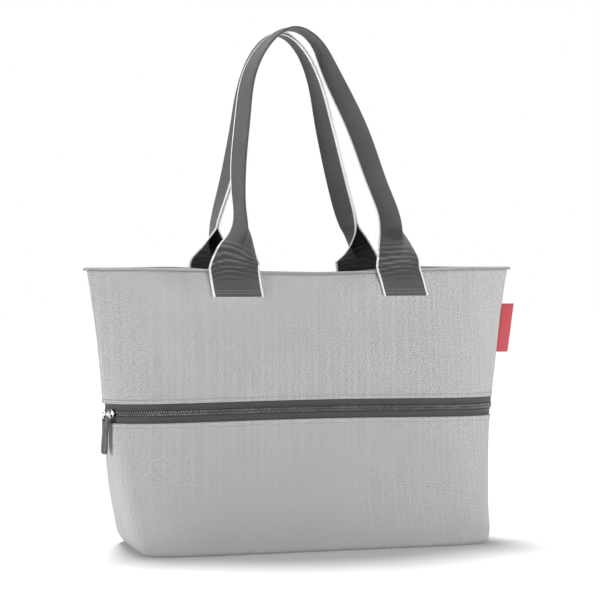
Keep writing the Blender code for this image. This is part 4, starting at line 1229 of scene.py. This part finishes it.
def eased(rows, spread):
    """The same rows with their sharper turns smoothed out; the ends stay where they are."""
    reach = 3 * spread
    weights = np.exp(-((np.arange(-reach, reach + 1) / spread) ** 2) / 2)
    weights /= weights.sum()
    before = 2 * rows[0] - rows[reach:0:-1]
    after = 2 * rows[-1] - rows[-2 : -2 - reach : -1]
    longer = np.concatenate([before, rows, after])
    return np.column_stack([np.convolve(longer[:, k], weights, "valid") for k in range(rows.shape[1])])


def half_section(open_deg, runs):
    """Where points at these distances from the fold are: sideways, inward, and the face's angle."""
    final = math.radians(90 - open_deg)
    fine = np.linspace(0, WEBBING_WIDTH / 2, 600)
    angle = final * np.clip(fine / SHOWN_RAMP, 0, 1)
    step = fine[1]
    sideways = np.concatenate([[0], np.cumsum(np.cos(angle[1:]) * step)])
    inward = np.concatenate([[0], np.cumsum(np.sin(angle[1:]) * step)])
    return np.interp(runs, fine, sideways), np.interp(runs, fine, inward), np.interp(runs, fine, angle)


# How far from the fold the webbing's points are, and its pale trim's
WEBBING_RUNS = np.array([0.3, 0.7, 1.1, 1.6, 2.6, 4.2, *range(6, 21, 2)]) * MM
TRIM_RUNS = np.array([20.3, 21.0, 21.7, 22.0]) * MM


def strap_ripples(sideways, height, left_base):
    """Small cross folds on a base of a strap, where the flat webbing starts to fold up."""
    above = (height - BAG_HEIGHT) / MM
    share = sideways / (WEBBING_WIDTH / 2)
    uneven = 0.65 + 0.35 * np.cos(2.2 * share + (0.5 if left_base else -0.6))
    zone = np.exp(-(((above - 6) / 11) ** 2)) * uneven
    bow = share**2 * (4.2 if left_base else 3.4) + 0.8 * np.sin(3.1 * share)
    wave = np.sin(2 * np.pi * (above + bow) / 4.4)
    second = np.sin(2 * np.pi * (above * 0.93 - bow * 0.6) / 2.7 + 1.0 + 2.0 * share)
    dimple_up = 24 if left_base else 30
    dimple = -0.9 * np.exp(-(((above - dimple_up) / 5) ** 2) - ((share - 0.15) / 0.22) ** 2)
    return ((0.72 * wave + 0.3 * second) * zone + dimple) * MM


def strap(name, table, side):
    """One strap of webbing with pale trim along both edges."""
    path = strap_path(table)
    points = path[:, 1:4]
    tangents = np.gradient(points, axis=0)
    tangents /= np.linalg.norm(tangents, axis=1)[:, None]
    thick = SHOWN_THICKNESS / 2
    runs = np.concatenate([WEBBING_RUNS, TRIM_RUNS])
    extra = np.concatenate([np.zeros(len(WEBBING_RUNS)), np.array([1.0, 1.0, 0.6, -0.6]) * TRIM_SWELL])
    sections = []
    cloth = []
    base_lines = []
    for i, (run, _, _, height, open_deg, turn_deg, lie) in enumerate(path):
        lie = min(max(lie, 0.0), 1.0)
        along = tangents[i]
        turn = math.radians(turn_deg)
        inward = np.array([-math.sin(turn), math.cos(turn), 0.0])
        inward -= inward.dot(along) * along
        inward /= np.linalg.norm(inward)
        across = np.cross(inward, along)
        s, d, a = half_section(min(max(open_deg, 0.8), 90.0), runs)
        s = np.concatenate([-s[::-1], [0.0], s])
        d = np.concatenate([d[::-1], [0.0], d])
        a = np.concatenate([-a[::-1], [0.0], a])
        swell = np.concatenate([extra[::-1], [0.0], extra])
        place = np.concatenate([-runs[::-1], [0.0], runs])
        middle = points[i] + np.outer(s, across) + np.outer(d, inward)
        normal = np.outer(np.sin(a), across) - np.outer(np.cos(a), inward)
        ripple = strap_ripples(s, height, i < STRAP_STATIONS / 2)
        outer = middle + (thick + swell + ripple)[:, None] * normal
        inner = middle - (thick + swell - ripple)[:, None] * normal
        if lie > 0:
            way = 1 if across[0] >= 0 else -1
            x = points[i][0] + s * way
            over = min(max((height - (BAG_HEIGHT - STRAP_STEP_START)) / STRAP_STEP_LENGTH, 0.0), 1.0)
            off = PIECE_GAP + over * (BINDING_SKIN + PIECE_GAP)
            level = min(height, BAG_HEIGHT)
            relief = fold_relief(FRONT_FOLDS if side < 0 else BACK_FOLDS)
            for lifted, target in ((off + 2 * thick, outer), (off, inner)):
                ring, _ = front_curve(level, lifted, np.linspace(0, 1, 400), relief=relief)
                y = np.interp(x, ring[:, 0], ring[:, 1])
                hem = BASE_HEM_SWELL * (height < BAG_HEIGHT - STRAP_PATCH + BASE_HEM)
                lifts = swell + hem if target is outer else -swell * 0.5
                on_panel = np.column_stack([x, y - lifts - ripple * 0.8, np.full(len(x), height)])
                target[:] = lie * on_panel + (1 - lie) * target
        if side > 0:
            outer = outer * (1, -1, 1)
            inner = inner * (1, -1, 1)
        sections.append(np.concatenate([outer, inner[::-1]]))
        # Painted shade for the colour: darker in the ripples' valleys and in a broad band just above
        # the rim.
        painted_crease_shade = ripple / MM - FOLD_BAND_PAINTED_SHADE * np.exp(-((((height - BAG_HEIGHT) / MM - 3) / 13) ** 2))
        shade = np.concatenate([painted_crease_shade, painted_crease_shade[::-1]])
        cloth.append(on_cloth(np.concatenate([place, place[::-1]]), run, shade))
        base_lines.append((run, outer, -normal * (-1 if side < 0 else 1)))
    sections = np.array(sections)
    cloth = np.array(cloth).reshape(-1, 3)
    size = 2 * len(runs) + 1
    edge = len(TRIM_RUNS)
    outer_face = [2] * (edge - 1) + [0] * (size - 2 * edge + 1) + [2] * (edge - 1)
    inner_face = [2] * (edge - 1) + [1] * (size - 2 * edge + 1) + [2] * (edge - 1)
    segments = outer_face + [2] + inner_face + [2]
    made = loft(f"{name}_webbing", sections, [WEBBING, WEBBING_INSIDE_SHADED, TRIM], segments, cloth)
    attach(made, "bag")
    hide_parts(name)
    return sections, size


def strap_stitches(name, sections, size, side):
    """Rows of thread across both bases of a strap."""
    paths = []
    for base in (sections, sections[::-1]):
        heights = base[:, size // 2, 2]
        for level in (3.4 * MM, BASE_HEM + 0.6 * MM):
            wanted = BAG_HEIGHT - STRAP_PATCH + level
            row = base[int(np.argmin(np.abs(heights[:BASE_STATIONS] - wanted)))]
            line = row[4 : size - 4]
            outward = np.tile((0.0, side * 1.0, 0.0), (len(line), 1))
            paths.append((line + outward * 0.1 * MM, outward))
    stitches(f"{name}_stitches", paths, GREY_THREAD)


# Label, seams and threads


# Shares of the label's reach, each with the share of its thickness there
LABEL_SECTION = ((0.0, 0.6), (0.1, 0.75), (0.3, 0.8), (0.6, 0.9), (0.85, 1.0), (0.95, 0.9), (0.99, 0.5))
LABEL_TIP = ((1.0, 0.0),)


def label():
    """The blank folded tab of red cloth sewn into the right side seam."""
    heights = np.linspace(LABEL_MIDDLE - LABEL_HEIGHT / 2, LABEL_MIDDLE + LABEL_HEIGHT / 2, 26)
    half = LABEL_THICKNESS / 2
    sections = []
    cloth = []
    for height in heights:
        share = (height - LABEL_MIDDLE) / (LABEL_HEIGHT / 2)
        seam = seam_x(height, 1) - LABEL_SEWN_IN
        end = seam_x(height, 1) + PIECE_GAP + LABEL_REACH
        bow = LABEL_BOW * (1 - share**2)
        loop = []
        for rows, face in ((LABEL_SECTION, -half), (LABEL_TIP + LABEL_SECTION[::-1], half)):
            for part, thick in rows:
                loop.append((seam + part * (end - seam), face * thick - bow * part, height))
        sections.append(loop)
        cloth.append([(p[0], p[2], 0.0) for p in loop])
    made = loft("label_cloth_tab", np.array(sections), [LABEL], None, np.array(cloth).reshape(-1, 3))
    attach(made, "bag")
    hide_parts("label_tab")
    line = [(seam_x(height, 1) + LABEL_STITCH_IN, -half * 0.9, height) for height in heights[1:-1]]
    outward = np.tile((0.0, -1.0, 0.0), (len(line), 1))
    back = np.array(line) * (1, -1, 1)
    stitches("label_stitches", [(line, outward), (back, -outward)], RED_THREAD)


def hem_and_rim_stitches():
    """The threads along both hems of the zip band and along the rim's binding."""
    shares = np.linspace(0.004, 0.996, 500)
    paths = []
    for side in (-1, 1):
        relief = fold_relief(FRONT_FOLDS if side < 0 else BACK_FOLDS)
        for direction in (-1, 1):
            height = ZIP_HEIGHT + direction * (ZIP_OPENING / 2 + HEM_STITCH_IN)
            out = HEM_SWELL - HEM_PRESS + STITCH_RADIUS * 0.3
            points, _ = front_curve(height, out, shares, relief=relief)
            points = to_side(points, side)
            share = 1 - HEM_STITCH_IN / (BAG_HEIGHT / 2)
            z = height + share**2 * zip_lift(points[:, 0], height)
            paths.append(outward_path(np.column_stack([points, z]), side))
        height = BAG_HEIGHT - BINDING_DROP + 0.9 * MM
        points, _ = front_curve(height, BINDING_OUT + STITCH_RADIUS * 0.2, shares)
        points = to_side(points, side)
        z = height + rim_change(seam_share(points[:, 0], height), side)
        paths.append(outward_path(np.column_stack([points, z]), side))
    stitches("hem_and_rim_stitches", paths, GREY_THREAD)


def outward_path(points, side):
    """A path with the level outward direction at each of its points."""
    along = np.gradient(points, axis=0)
    outward = np.column_stack([along[:, 1], -along[:, 0], np.zeros(len(along))]) * -side
    outward[:, :2] *= np.sign((outward[:, 1:2] * side).clip(-1, 1) + 1e-9)
    outward /= np.linalg.norm(outward, axis=1)[:, None]
    return points, outward


# The stage


def light_from(lamp, place, target):
    """Sets a lamp at a place and turns it to its target."""
    made = bpy.data.objects.new(lamp.name, lamp)
    made.location = place
    made.rotation_euler = (Vector(target) - Vector(place)).to_track_quat("-Z", "Y").to_euler()
    bpy.context.scene.collection.objects.link(made)


def stage():
    """A plain pale floor, a white surround, soft lights and the camera."""
    corners = [(x * FLOOR_REACH, y * FLOOR_REACH, 0) for x, y in ((-1, -1), (1, -1), (1, 1), (-1, 1))]
    floor = link_mesh("floor", corners, [[0, 1, 2, 3]], [floor_finish("pale_floor")])
    world = bpy.data.worlds.new("white_surround")
    bpy.context.scene.world = world
    world.use_nodes = True
    shade = world.node_tree.nodes["Background"]
    rays = world.node_tree.nodes.new("ShaderNodeLightPath")
    seen = world.node_tree.nodes.new("ShaderNodeMapRange")
    seen.inputs["To Min"].default_value = SURROUND_LIGHT
    seen.inputs["To Max"].default_value = SURROUND_SEEN
    world.node_tree.links.new(rays.outputs["Is Camera Ray"], seen.inputs["Value"])
    world.node_tree.links.new(seen.outputs[0], shade.inputs["Strength"])
    shade.inputs["Color"].default_value = (1.0, 1.0, 1.0, 1.0)
    for name, watts, place in (
        ("front_softbox", FRONT_WATTS, FRONT_LIGHT_AT),
        ("left_softbox", LEFT_WATTS, LEFT_LIGHT_AT),
    ):
        box = bpy.data.lights.new(name, "AREA")
        box.energy = watts
        box.size = SOFTBOX_SIZE
        light_from(box, place, SOFTBOX_TARGET)
    above = bpy.data.lights.new("overhead_light", "SUN")
    above.energy = ABOVE_STRENGTH
    above.angle = math.radians(ABOVE_SPREAD_DEG)
    light_from(above, ABOVE_FROM, (0.0, 0.0, 0.0))
    camera = bpy.data.cameras.new("camera")
    camera.sensor_width = CAMERA_SENSOR
    camera.lens = CAMERA_LENS
    made = bpy.data.objects.new("camera", camera)
    made.location = CAMERA_AT
    made.rotation_euler = (math.radians(90 - CAMERA_DOWN_DEG), 0.0, math.radians(CAMERA_TURN_DEG))
    bpy.context.scene.collection.objects.link(made)
    bpy.context.scene.camera = made
    bpy.context.scene.view_settings.view_transform = "Standard"


stage()
for panel_side in (-1, 1):
    upper_panel(panel_side)
    lower_panel(panel_side)
base_cloth()
seam_bindings()
rim_binding()
zip_tape(1)
zip_tape(-1)
zip_teeth()
slider()
pull_ring()
pull_tab()
straps = (("front_strap", FRONT_STRAP, -1), ("back_strap", BACK_STRAP, 1))
for strap_name, strap_table, strap_side in straps:
    strap_sections, strap_size = strap(strap_name, strap_table, strap_side)
    strap_stitches(strap_name, strap_sections, strap_size, strap_side)
label()
hem_and_rim_stitches()
